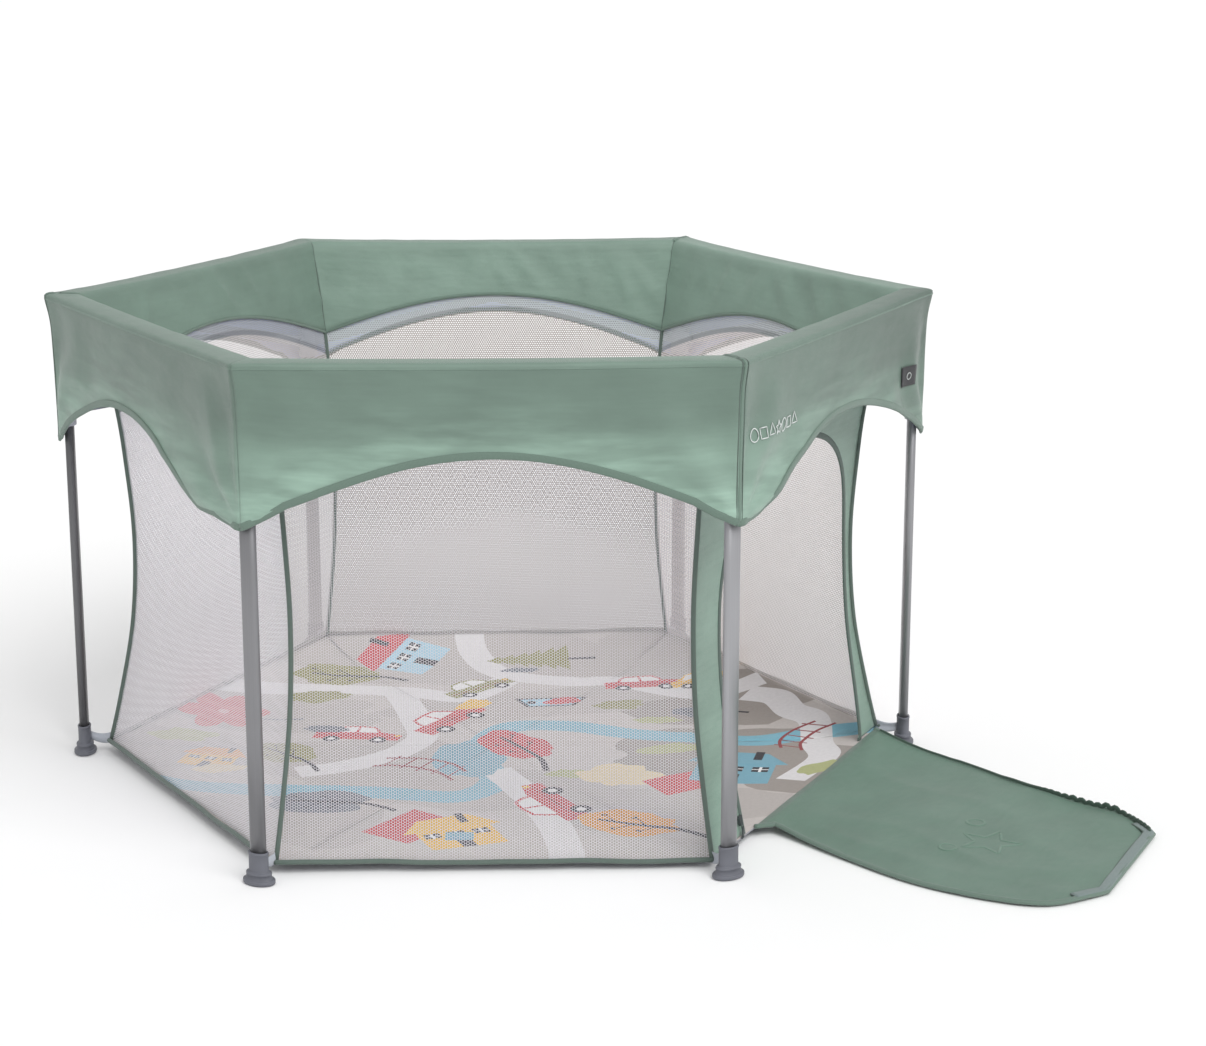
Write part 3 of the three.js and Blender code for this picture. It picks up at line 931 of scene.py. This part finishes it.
def make_corner_piping(n):
    name = CORNERS[n]
    outward, across = way(corner_axes[n], 1, 0), way(corner_axes[n], 0, 1)
    heights = np.linspace(LIFTS[name], 0.6, 40)
    line = [outward * (bag_out(z) / COS30 + 0.002) + UPWARD * z for z in heights]
    piping = cord(f"corner_piping_{name}", line, ellipse(0.0034, 0.0038), outward, piping_tape)
    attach(piping, f"leg_{name}")

    # A thin web ties the bag's bottom corner to the foot.
    start = line[0] + UPWARD * 0.003
    end = corner_axes[n] @ Vector((-0.0098, 0, 0.027))
    lines = []
    for k in range(9):
        centre = start.lerp(end, k / 8) - UPWARD * 0.003 * math.sin(math.pi * k / 8)
        half = 0.0085 - 0.002 * k / 8
        lines.append([centre + UPWARD * half * t / 3 + across * 0.001 * math.cos(t) for t in range(-3, 4)])
    uv_lines = [[(0.004 * t, 0.004 * k) for t in range(7)] for k in range(9)]
    tie = dress(grid(f"tie_{name}", lines, uv_lines), tie_web)
    thicken(tie, 0.0008)
    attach(tie, f"leg_{name}")


def make_hem(side):
    """Piping along the bottom of the bag."""
    path = []
    for share in columns(44):
        out, along = at_corner(bag_out(BAG_FOOT[1]) + 0.003, share, 0.006)
        sway = 0.003 * ripple(along * 12, 1, side + 51)
        rise = 0.0028 * ripple(along * 11, 5, side + 61)
        path.append(side_axes[side] @ Vector((out + sway, along, lift(side, share) + rise)))
    hem = cord(f"bottom_piping_{SIDES[side]}", path, ellipse(0.0036, 0.0036), UPWARD, piping_tape)
    gather(hem, side)


# ---- Printed floor ----


def around(x, y, wide, high, turn=0.0, count=28, wobble=0.0, seed=1):
    """A round blob of a printed shape, its outline a little uneven."""
    made = []
    for k in range(count):
        angle = 2 * math.pi * k / count
        swell = 1 + wobble * ripple(2 * math.cos(angle), 2 * math.sin(angle), seed)
        a, b = wide * math.cos(angle) * swell, high * math.sin(angle) * swell
        made.append((a, b))
    return turned(made, x, y, turn)


def turned(points, x, y, turn, size=1.0):
    c, s = math.cos(turn) * size, math.sin(turn) * size
    return [(x + a * c - b * s, y + a * s + b * c) for a, b in points]


def ribbon(points, width, steps=8, taper=0.0):
    """A road, river or branch along a smooth line."""
    line = spline(points, steps)
    left, right = [], []
    for k, p in enumerate(line):
        forward = line[min(k + 1, len(line) - 1)] - line[max(k - 1, 0)]
        across = np.array([-forward[1], forward[0]]) / max(np.hypot(*forward), 1e-9)
        half = width / 2 * (1 - taper * k / (len(line) - 1))
        left.append(tuple(p + across * half))
        right.append(tuple(p - across * half))
    return left + right[::-1]


def blob(wide, high, ink, seed, wobble=0.4):
    return [(around(0, 0, wide, high, wobble=wobble, seed=seed), ink)]


def leafy_tree(crown, seed):
    """A leafy crown on a bare branch with side twigs."""
    shapes = [(around(0, 0, 1, 0.66, 0, 30, 0.3, seed), crown)]
    shapes.append((ribbon([(-0.6, 0.05), (0.1, 0), (1.0, -0.1), (1.7, -0.45)], 0.08, taper=-0.8), "dark"))
    for k, (a, b) in enumerate(((-0.25, 0.32), (0.1, -0.34), (0.35, 0.33), (0.6, -0.33))):
        foot = (a, 0.02 - 0.06 * (a + 0.6))
        shapes.append((ribbon([foot, (a - 0.12, b * 0.5), (a - 0.28, b)], 0.045, 3, taper=0.5), "dark"))
        shapes.append((around(a - 0.3, b, 0.07, 0.04, 0.6 * (-1) ** k, 10), "dark"))
    return shapes


def pine(crown):
    edge = [(-1, 0)]
    for k in range(1, 7):
        edge += [(-1 + 0.3 * k, 0.1 + 0.09 * k), (-0.98 + 0.3 * k, 0.02 + 0.06 * k)]
    outline = edge + [(a, -b) for a, b in reversed(edge[1:])]
    return [(outline, crown), ([(0.8, 0.05), (1.4, 0.05), (1.4, -0.05), (0.8, -0.05)], "dark")]


def flower(petal, heart):
    shapes = []
    for k in range(6):
        angle = k * TURN
        shapes.append((around(0.55 * math.cos(angle), 0.55 * math.sin(angle), 0.45, 0.3, angle), petal))
    for ring in (0.3, 0.62, 0.84):
        line = around(0, 0, ring, ring, 0, 24, 0.15, 7)
        shapes.append((ribbon([*line, line[0]], 0.035, 1), heart))
    shapes.append((around(0, 0, 0.12, 0.12), heart))
    shapes.append((ribbon([(0.5, -0.3), (1.2, -0.5), (1.7, -0.5)], 0.08, 4), "stone"))
    return shapes


def box_shape(x0, y0, x1, y1):
    return [(x0, y0), (x1, y0), (x1, y1), (x0, y1)]


def block(x0, y0, x1, y1, ink):
    return [(box_shape(x0, y0, x1, y1), ink)]


def house(wall, roof):
    shapes = [
        (box_shape(-0.8, -0.7, 0.8, 0.5), wall),
        ([(-1.05, 0.45), (1.05, 0.45), (0.55, 1.15), (-0.55, 1.15)], roof),
        (box_shape(-0.15, -0.7, 0.15, -0.15), "dark"),
        (box_shape(0.28, 0.75, 0.46, 1.25), "dark"),
    ]
    for a in (-0.52, 0.0, 0.52):
        shapes.append((box_shape(a - 0.17, 0.02, a + 0.17, 0.3), "dark"))
        shapes.append((box_shape(a - 0.03, 0.02, a + 0.03, 0.3), "white"))
        shapes.append((box_shape(a - 0.17, 0.14, a + 0.17, 0.18), "white"))
    return shapes


def car(paint):
    shapes = [
        ([(-1, -0.27), (1.02, -0.27), (1.06, 0.1), (0.62, 0.24), (-0.97, 0.24)], paint),
        ([(-0.6, 0.22), (0.5, 0.22), (0.3, 0.66), (-0.4, 0.66)], "white"),
        (ribbon([(-0.95, -0.02), (0.95, -0.04)], 0.03, 1), "dark_red"),
        (box_shape(0.88, 0.0, 1.02, 0.12), "yellow"),
        (ribbon([(-0.6, 0.2), (-0.4, 0.6), (0.3, 0.6), (0.5, 0.2)], 0.07, 2), paint),
        (ribbon([(-0.03, 0.2), (-0.03, 0.6)], 0.06, 1), paint),
    ]
    for a in (-0.55, 0.55):
        shapes.append((around(a, -0.27, 0.2, 0.2, count=16), "dark"))
        shapes.append((around(a, -0.27, 0.09, 0.09, count=12), "white"))
    return shapes


def boat():
    return [
        ([(-1, 0.35), (-0.7, -0.4), (0.6, -0.4), (1, 0.35)], "dark"),
        ([(-0.85, 0.28), (-0.6, -0.32), (0.5, -0.32), (0.85, 0.28)], "sky"),
        (around(0.3, 0.05, 0.5, 0.3, 0.2, 20, 0.3, 25), "red"),
        (around(-0.55, 0.0, 0.14, 0.14, count=14), "dark"),
    ]


def bridge():
    shapes = []
    for b in (-0.3, 0.3):
        rail = [(-1, b - 0.2), (-0.4, b + 0.12), (0.4, b + 0.12), (1, b - 0.2)]
        shapes.append((ribbon(rail, 0.09), "dark_red"))
    for a in (-0.8, -0.4, 0, 0.4, 0.8):
        shapes.append((ribbon([(a, -0.35), (a, 0.4)], 0.05, 1), "dark_red"))
    return shapes


# The low hills of the print: place, half width and half height.
HILLS = (
    (-0.1, 0.43, 0.34, 0.12),
    (0.36, 0.2, 0.2, 0.11),
    (0.33, -0.06, 0.17, 0.12),
    (-0.38, 0.17, 0.2, 0.1),
    (-0.2, -0.06, 0.2, 0.1),
    (0.05, 0.2, 0.24, 0.08),
    (-0.05, -0.2, 0.26, 0.09),
    (0.25, -0.3, 0.2, 0.1),
    (0.47, -0.14, 0.1, 0.16),
    (-0.32, -0.33, 0.16, 0.12),
    (0.3, 0.42, 0.14, 0.12),
    (-0.5, -0.02, 0.1, 0.1),
)
RIVERS = (
    [(-0.64, -0.14), (-0.47, -0.19), (-0.3, -0.2), (-0.15, -0.22)]
    + [(-0.05, -0.235), (0.0, -0.17), (-0.02, -0.1)],
    [(-0.03, -0.02), (0.02, 0.08), (0.11, 0.085), (0.22, 0.04)]
    + [(0.32, 0.02), (0.4, 0.0), (0.5, 0.02), (0.62, -0.01)],
)
ROADS = (
    [(-0.05, 0.56), (-0.04, 0.46), (0.015, 0.36), (0.13, 0.32), (0.2, 0.315), (0.33, 0.24), (0.44, 0.26)],
    [(-0.62, 0.24), (-0.4, 0.27), (-0.28, 0.29), (-0.15, 0.27), (-0.05, 0.24), (0.015, 0.33)],
    [(0.41, 0.215), (0.455, 0.18), (0.475, 0.12), (0.505, 0.07), (0.5, -0.03), (0.5, -0.11), (0.44, -0.2)],
    [(0.0, -0.12), (0.03, -0.19), (0.08, -0.34), (0.1, -0.48), (0.09, -0.56)],
    [(-0.16, 0.26), (-0.13, 0.13), (-0.12, 0.02), (-0.2, -0.08), (-0.3, -0.12)],
)
# The motifs, from the lowest to the one on top: what it is, its place, size and turn, and its own settings.
MOTIFS = (
    (house, -0.15, 0.44, 0.072, 1.15, "sky", "red"),
    (pine, 0.06, 0.43, 0.078, 0.05, "olive"),
    (blob, 0.04, 0.385, 1, 0.1, 0.032, 0.01, "stone", 2),
    (leafy_tree, -0.27, 0.36, 0.07, 0.05, "olive", 3),
    (blob, -0.29, 0.25, 1, 0.2, 0.05, 0.028, "olive", 5),
    (flower, -0.44, 0.16, 0.075, 0.1, "red", "pink"),
    (blob, -0.49, 0.05, 1, 0.1, 0.05, 0.025, "moss", 6, 0.5),
    (house, -0.44, -0.06, 0.05, -0.25, "yellow", "orange"),
    (leafy_tree, -0.33, -0.03, 0.06, -0.7, "olive", 8),
    (car, -0.22, 0.05, 0.068, -0.15, "red"),
    (blob, -0.27, 0.085, 1, -0.1, 0.035, 0.018, "stone", 7),
    (car, -0.075, 0.12, 0.078, 1.0, "red"),
    (blob, -0.04, 0.2, 1, 0.6, 0.035, 0.02, "yellow", 9),
    (car, -0.03, 0.29, 0.066, 0.75, "olive"),
    (car, 0.245, 0.3, 0.066, 0.1, "red"),
    (car, 0.345, 0.3, 0.055, 0.2, "yellow"),
    (boat, 0.09, 0.21, 0.06, 0.05),
    (blob, 0.2, 0.19, 1, 0.2, 0.042, 0.024, "olive", 11),
    (blob, 0.26, 0.11, 1, 0.1, 0.036, 0.017, "moss", 12),
    (leafy_tree, 0.33, 0.15, 0.045, 0.1, "stone", 22),
    (blob, -0.04, -0.07, 1, 0.0, 0.055, 0.085, "blue", 14, 0.3),
    (leafy_tree, 0.03, -0.005, 0.075, -0.95, "red", 13),
    (bridge, -0.11, -0.1, 0.07, -0.5),
    (blob, 0.11, -0.14, 1, 0.1, 0.03, 0.018, "moss", 15),
    (blob, 0.27, -0.03, 1, 0.3, 0.05, 0.022, "moss", 24),
    (leafy_tree, -0.26, -0.25, 0.07, -0.1, "stone", 16),
    (blob, -0.42, -0.1, 1, 0.2, 0.04, 0.02, "cream", 17),
    (block, -0.12, -0.36, 0.058, 0.9, -1, -0.75, 1, 0.75, "red"),
    (house, -0.05, -0.4, 0.07, 0.35, "yellow", "yellow"),
    (block, 0, 0, 1, 0, -0.07, -0.42, -0.03, -0.385, "blue"),
    (car, 0.085, -0.265, 0.082, 2.04, "red"),
    (leafy_tree, 0.19, -0.355, 0.075, -0.3, "orange", 20),
    (blob, 0.18, -0.15, 1, 0.2, 0.07, 0.05, "cream", 21),
    (block, 0.275, -0.19, 0.045, 0.5, -1, -0.8, 1, 0.8, "red"),
    (house, 0.36, -0.14, 0.075, -0.25, "blue", "blue"),
    (bridge, 0.48, 0.01, 0.06, 1.0),
    (blob, 0.49, -0.16, 1, 0.4, 0.035, 0.025, "moss", 23),
)


def floor_print():
    """Every printed shape of the floor, from the lowest to the one on top."""
    shapes = []
    for k, (x, y, wide, high) in enumerate(HILLS):
        turn = 0.15 * (k % 3 - 1)
        ink = "shade" if x > 0.3 else "haze"
        shapes.append((around(x, y, wide, high, turn, 40, 0.35, k + 70), ink))
    for line in RIVERS:
        shapes.append((ribbon(line, 0.05), "river"))
    for line in ROADS:
        shapes.append((ribbon(line, 0.05), "road"))
    for make, x, y, size, turn, *settings in MOTIFS:
        shapes += [(turned(points, x, y, turn, size), ink) for points, ink in make(*settings)]
    return shapes


def make_floor(side, shapes):
    name = SIDES[side]
    reach = FLOOR_OUT - 0.001
    to_side = side_axes[side].inverted()

    def local(points):
        return [tuple((to_side @ Vector((x, y, 0)))[:2]) for x, y in points]

    def is_near(points):
        return max(a for a, _ in points) > 0 and any(abs(b) < a * TAN30 + 0.15 for a, b in points)

    near = [(local(points), ink) for points, ink in shapes]
    near = [(points, ink) for points, ink in near if is_near(points)]
    outline = [(0, 0), (reach, -reach * TAN30), (reach, reach * TAN30)]
    points, faces, tops = panel(outline, shapes=[p for p, _ in near], spacing=0.022)
    placed = []
    for a, b in points:
        x, y, _ = side_axes[side] @ Vector((a, b, 0))
        level = FLOOR_TOP - 0.001 + 0.0016 * ripple(x * 8, y * 8, 80) + 0.0008 * ripple(x * 25, y * 25, 81)
        raised = max(0.0, 1 - (reach - a) / 0.15) ** 2
        level += raised * (lift(side, b / max(a * TAN30, 1e-6)) - FLOOR_TOP)
        placed.append((x, y, level))
    uvs = [(p[0], p[1]) for p in placed]
    floor = dress(add_object(f"floor_{name}", placed, faces, uvs), print_cloth)
    colours = floor.data.attributes.new("print", "FLOAT_COLOR", "CORNER")
    flat = []
    for face, top in zip(floor.data.polygons, tops):
        ink = INKS[near[top][1]] if top >= 0 else INKS["ground"]
        flat += list(ink) * face.loop_total
    colours.data.foreach_set("color", flat)
    thicken(floor, 0.0025, -1.0)
    floor.modifiers[0].material_offset = 1
    floor.modifiers[0].material_offset_rim = 1
    floor.data.materials.append(backing_fabric)
    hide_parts(f"floor_gore_{name}")
    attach(floor, f"gore_{name}")
    close_up(floor)


# ---- Door leaf ----


def leaf_edge(line, share):
    return float(np.interp(share, *zip(*line)))


def leaf_rise(out, along):
    """The leaf comes up to the bag's raised bottom edge at its hinge."""
    return (lift(DOOR, along / 0.3) - 0.004) * math.exp(-((max(0.0, out) / 0.07) ** 1.5))


def leaf_curl(share, off):
    """The leaf's far edge is turned up a little past its middle; off is the distance from that edge."""
    return 0.0035 * math.exp(-(((share - 0.6) / 0.1) ** 2)) * math.exp(-((off / 0.028) ** 2))


def evenly(line, step):
    """A line's points again, a step apart."""
    lengths = np.cumsum([0.0] + [math.dist(a, b) for a, b in zip(line, line[1:])])
    places = np.arange(0.0, lengths[-1], step)
    return list(zip(*(np.interp(places, lengths, values) for values in zip(*line))))


def make_leaf():
    points = [side_axes[DOOR].inverted() @ v.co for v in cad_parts["door_leaf"].data.vertices]
    hinge = min(p.x for p in points)
    length = max(p.x for p in points) - hinge
    far_line = [(hinge + length * share, along) for share, along in spline(LEAF_FAR, 5)]
    near_line = [(hinge + length * share, along) for share, along in spline(LEAF_NEAR, 5)]
    edge = far_line + near_line[::-1]

    def leaf_level(a, b):
        share = (a - hinge) / length
        off_far = leaf_edge(LEAF_FAR, share) - b
        off_near = b - leaf_edge(LEAF_NEAR, share)
        inside = min(off_far, off_near, (1 - share) * length, a - hinge + 0.02)
        slack = min(1.0, max(0.0, inside) / 0.05)
        level = LEAF_LEVEL + 0.0035 * slack * ripple(a * 9, b * 9, 90)
        level += 0.002 * slack * crease(a * 5 + b * 3, b * 9, 91)
        return max(0.0018, level + leaf_rise(a - hinge, b) + leaf_curl(share, off_far))

    points, faces, _ = panel(edge, spacing=0.012)
    placed = [side_axes[DOOR] @ Vector((a, b, leaf_level(a, b))) for a, b in points]
    uvs = [(b, a) for a, b in points]
    leaf = dress(add_object("leaf", placed, faces, uvs), leaf_fabric)
    thicken(leaf, 0.0016)
    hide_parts("door_leaf")
    with_leaf(leaf)

    def rim(line, inward=0.0, wave_high=0.0, above=0.0):
        """A line round the leaf's edge, moved inward and waved up and down."""
        centre = Vector((hinge + length / 2, 0.0))
        path = []
        for k, p in enumerate(line):
            spot = Vector(p)
            spot += (centre - spot).normalized() * inward
            share = (spot.x - hinge) / length
            level = LEAF_LEVEL + 0.002 * abs(ripple(spot.x * 22, spot.y * 22, 95)) + above
            level += leaf_rise(spot.x - hinge, spot.y) + leaf_curl(share, leaf_edge(LEAF_FAR, share) - spot.y)
            waves = abs(math.sin(k * 0.68 + 4.5 * ripple(p[0] * 12, p[1] * 12, 97)))
            ruffled = min(1.0, max(0.0, (share - 0.56) / 0.2))
            ruffled *= 0.8 + 1.4 * ripple(p[0] * 24, p[1] * 24, 99)
            path.append(side_axes[DOOR] @ Vector((spot.x, spot.y, level + wave_high * waves * ruffled)))
        return path

    far_edge = evenly(far_line, 0.003)
    tip = evenly([p for p in edge if p[0] > hinge + 0.9 * length], 0.006)
    zip_line = rim(far_edge[3:], 0.003, 0.006, 0.0015)
    tape_line, seam_line = rim(tip, 0.005, above=0.0024), rim(tip, 0.013, above=0.0016)
    sideways = way(side_axes[DOOR], 0, 1)
    for kind, path, section, upward, material in (
        ("binding", rim(edge), ellipse(0.0046, 0.0034), UPWARD, binding_tape),
        ("zip_tape", zip_line, tape(0.0036, 0.003), sideways, leaf_zip_tape),
        ("tip_tape", tape_line, tape(0.0075, 0.0022), UPWARD, tip_tape),
        ("tip_seam", seam_line, ellipse(0.0012, 0.0012, 8), UPWARD, leaf_zip_tape),
    ):
        with_leaf(cord(f"leaf_{kind}", path, section, upward, material))
    # A low relief: each shape's kind, size, distance from the hinge and place along the side.
    relief = (("star", 0.041, 0.305, -0.04), ("circle", 0.013, 0.262, 0.022), ("circle", 0.012, 0.262, -0.09))
    low = ellipse(0.0024, 0.0007, 10)
    for k, (kind, size, out, off) in enumerate(relief):
        line = [(hinge + out + a, off + b) for a, b in outline_shape(kind, size)]
        path = [side_axes[DOOR] @ Vector((a, b, leaf_level(a, b) + 0.0008)) for a, b in line]
        with_leaf(cord(f"embossed_{kind}_{k}", path, low, UPWARD, emboss_fabric, closed=True))


def with_leaf(piece):
    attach(piece, "door_leaf")
    close_up(piece)


# ---- Frame ----


def flat_oval(half_wide, half_deep):
    """A flat-sided oval, wide along the second axis."""
    count = 10
    straight = half_wide - half_deep
    points = []
    for centre, start in ((straight, 0.0), (-straight, math.pi)):
        for k in range(count + 1):
            angle = start + math.pi * k / count
            points.append((half_deep * math.cos(angle), centre + half_deep * math.sin(angle)))
    return points


def loft(name, axes, stations):
    """A closed body through ellipses: each station is (height, half width, half depth)."""
    count = 40
    points, uvs, faces = [], [], []
    for z, wide, deep in stations:
        for k in range(count):
            angle = 2 * math.pi * k / count
            points.append(axes @ Vector((deep * math.cos(angle), wide * math.sin(angle), z)))
            uvs.append((k / count * 0.1, z))
    for s in range(len(stations) - 1):
        for k in range(count):
            a, b = s * count + k, s * count + (k + 1) % count
            faces.append((a, b, b + count, a + count))
    faces.append(tuple(range(count))[::-1])
    faces.append(tuple((len(stations) - 1) * count + k for k in range(count)))
    return add_object(name, points, faces, uvs)


def make_leg(n):
    name = CORNERS[n]
    low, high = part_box(f"leg_{name}")
    section = flat_oval(0.012, 0.0065)
    points, uvs, faces = [], [], []
    for z in (low.z, high.z):
        for k, (a, b) in enumerate(section):
            points.append(corner_axes[n] @ Vector((a, b, z)))
            uvs.append((k * 0.003, z))
    count = len(section)
    for k in range(count):
        faces.append((k, (k + 1) % count, (k + 1) % count + count, k + count))
    tube = dress(add_object(f"leg_tube_{name}", points, faces, uvs), tube_metals[name])
    thicken(tube, 0.0014, -1.0)
    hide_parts(f"leg_{name}")
    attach(tube, f"leg_{name}")


# The foot's profile: (height, half width, half depth), from the ground up over a lipped rim to a sleeve.
FOOT_STATIONS = (
    (0.0, 0.0218, 0.0148),
    (0.0008, 0.0234, 0.0164),
    (0.0022, 0.024, 0.017),
    (0.0056, 0.024, 0.017),
    (0.0063, 0.0236, 0.0166),
    (0.0066, 0.0228, 0.0158),
    (0.0067, 0.0208, 0.0141),
    (0.0078, 0.0206, 0.0139),
    (0.0128, 0.0184, 0.0122),
    (0.013, 0.019, 0.0128),
    (0.0138, 0.0194, 0.0131),
    (0.0156, 0.0194, 0.0131),
    (0.0164, 0.0189, 0.0127),
    (0.0167, 0.0158, 0.0103),
    (0.018, 0.0151, 0.0097),
    (0.03, 0.0149, 0.0096),
    (0.0415, 0.0149, 0.0096),
    (0.042, 0.0155, 0.01),
    (0.0443, 0.0155, 0.01),
    (0.045, 0.0149, 0.0095),
    (0.0449, 0.0128, 0.0073),
    (0.042, 0.0126, 0.0071),
)


def make_foot(n):
    name = CORNERS[n]
    foot = dress(loft(f"foot_cap_{name}", corner_axes[n], FOOT_STATIONS), grey_plastic)
    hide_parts(f"foot_{name}")
    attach(foot, f"leg_{name}")


def finish_cad_nodes():
    """The pieces that keep their CAD shape get softened edges and their own materials."""
    looks = {
        "hub_": grey_plastic,
        "slider_": pale_plastic,
        "lock_button_": dark_plastic,
        "outer_bar_": bar_metal,
        "inner_bar_": bar_metal,
        "zip_": zip_metal,
    }
    for name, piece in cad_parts.items():
        for start, material in looks.items():
            if name.startswith(start):
                dress(piece, material)
                modify(piece, "BEVEL", width=0.0006, segments=2, limit_method="ANGLE", angle_limit=0.7)


# ---- Build ----

for n in range(6):
    make_leg(n)
    make_foot(n)
    make_band(n)
    make_welt(n)
    make_corner_piping(n)
    if n != DOOR:
        make_wall(n)
make_door_wall()
shapes = floor_print()
for n in range(6):
    if n != DOOR:
        make_hem(n)
    make_floor(n, shapes)
make_leaf()
finish_cad_nodes()

# ---- Studio ----


def add_to_scene(name, data, place):
    made = bpy.data.objects.new(name, data)
    bpy.context.scene.collection.objects.link(made)
    made.location = place
    return made


def make_studio():
    world = bpy.data.worlds.new("studio")
    world.use_nodes = True
    background = world.node_tree.nodes["Background"]
    background.inputs[0].default_value = (1, 1, 1, 1)
    background.inputs[1].default_value = 0.68
    bpy.context.scene.world = world
    bpy.context.scene.view_settings.view_transform = "Standard"

    sun = bpy.data.lights.new("soft_sun", "SUN")
    sun.energy = 1.7
    sun.angle = math.radians(40)
    place = Vector((1.8, -3.0, 4.4))
    aim = (Vector((0, 0, 0.2)) - place).to_track_quat("-Z", "Y").to_euler()
    add_to_scene("soft_sun", sun, place).rotation_euler = aim

    reach = 60
    corners = [(x * reach, y * reach, -0.0005) for x, y in ((-1, -1), (1, -1), (1, 1), (-1, 1))]
    floor = add_object("studio_floor", corners, [(0, 1, 2, 3)], smooth=False)
    pale, _, _ = shader("studio_floor", Roughness=0.9, Base_Color=(0.96, 0.96, 0.96, 1))
    dress(floor, pale)

    camera = bpy.data.cameras.new("camera")
    camera.sensor_width = 36
    camera.lens = 79.12
    placed = add_to_scene("camera", camera, (0.029, -3.934, 1.352))
    placed.rotation_euler = (math.radians(75.85), 0, math.radians(-2.01))
    bpy.context.scene.camera = placed


make_studio()
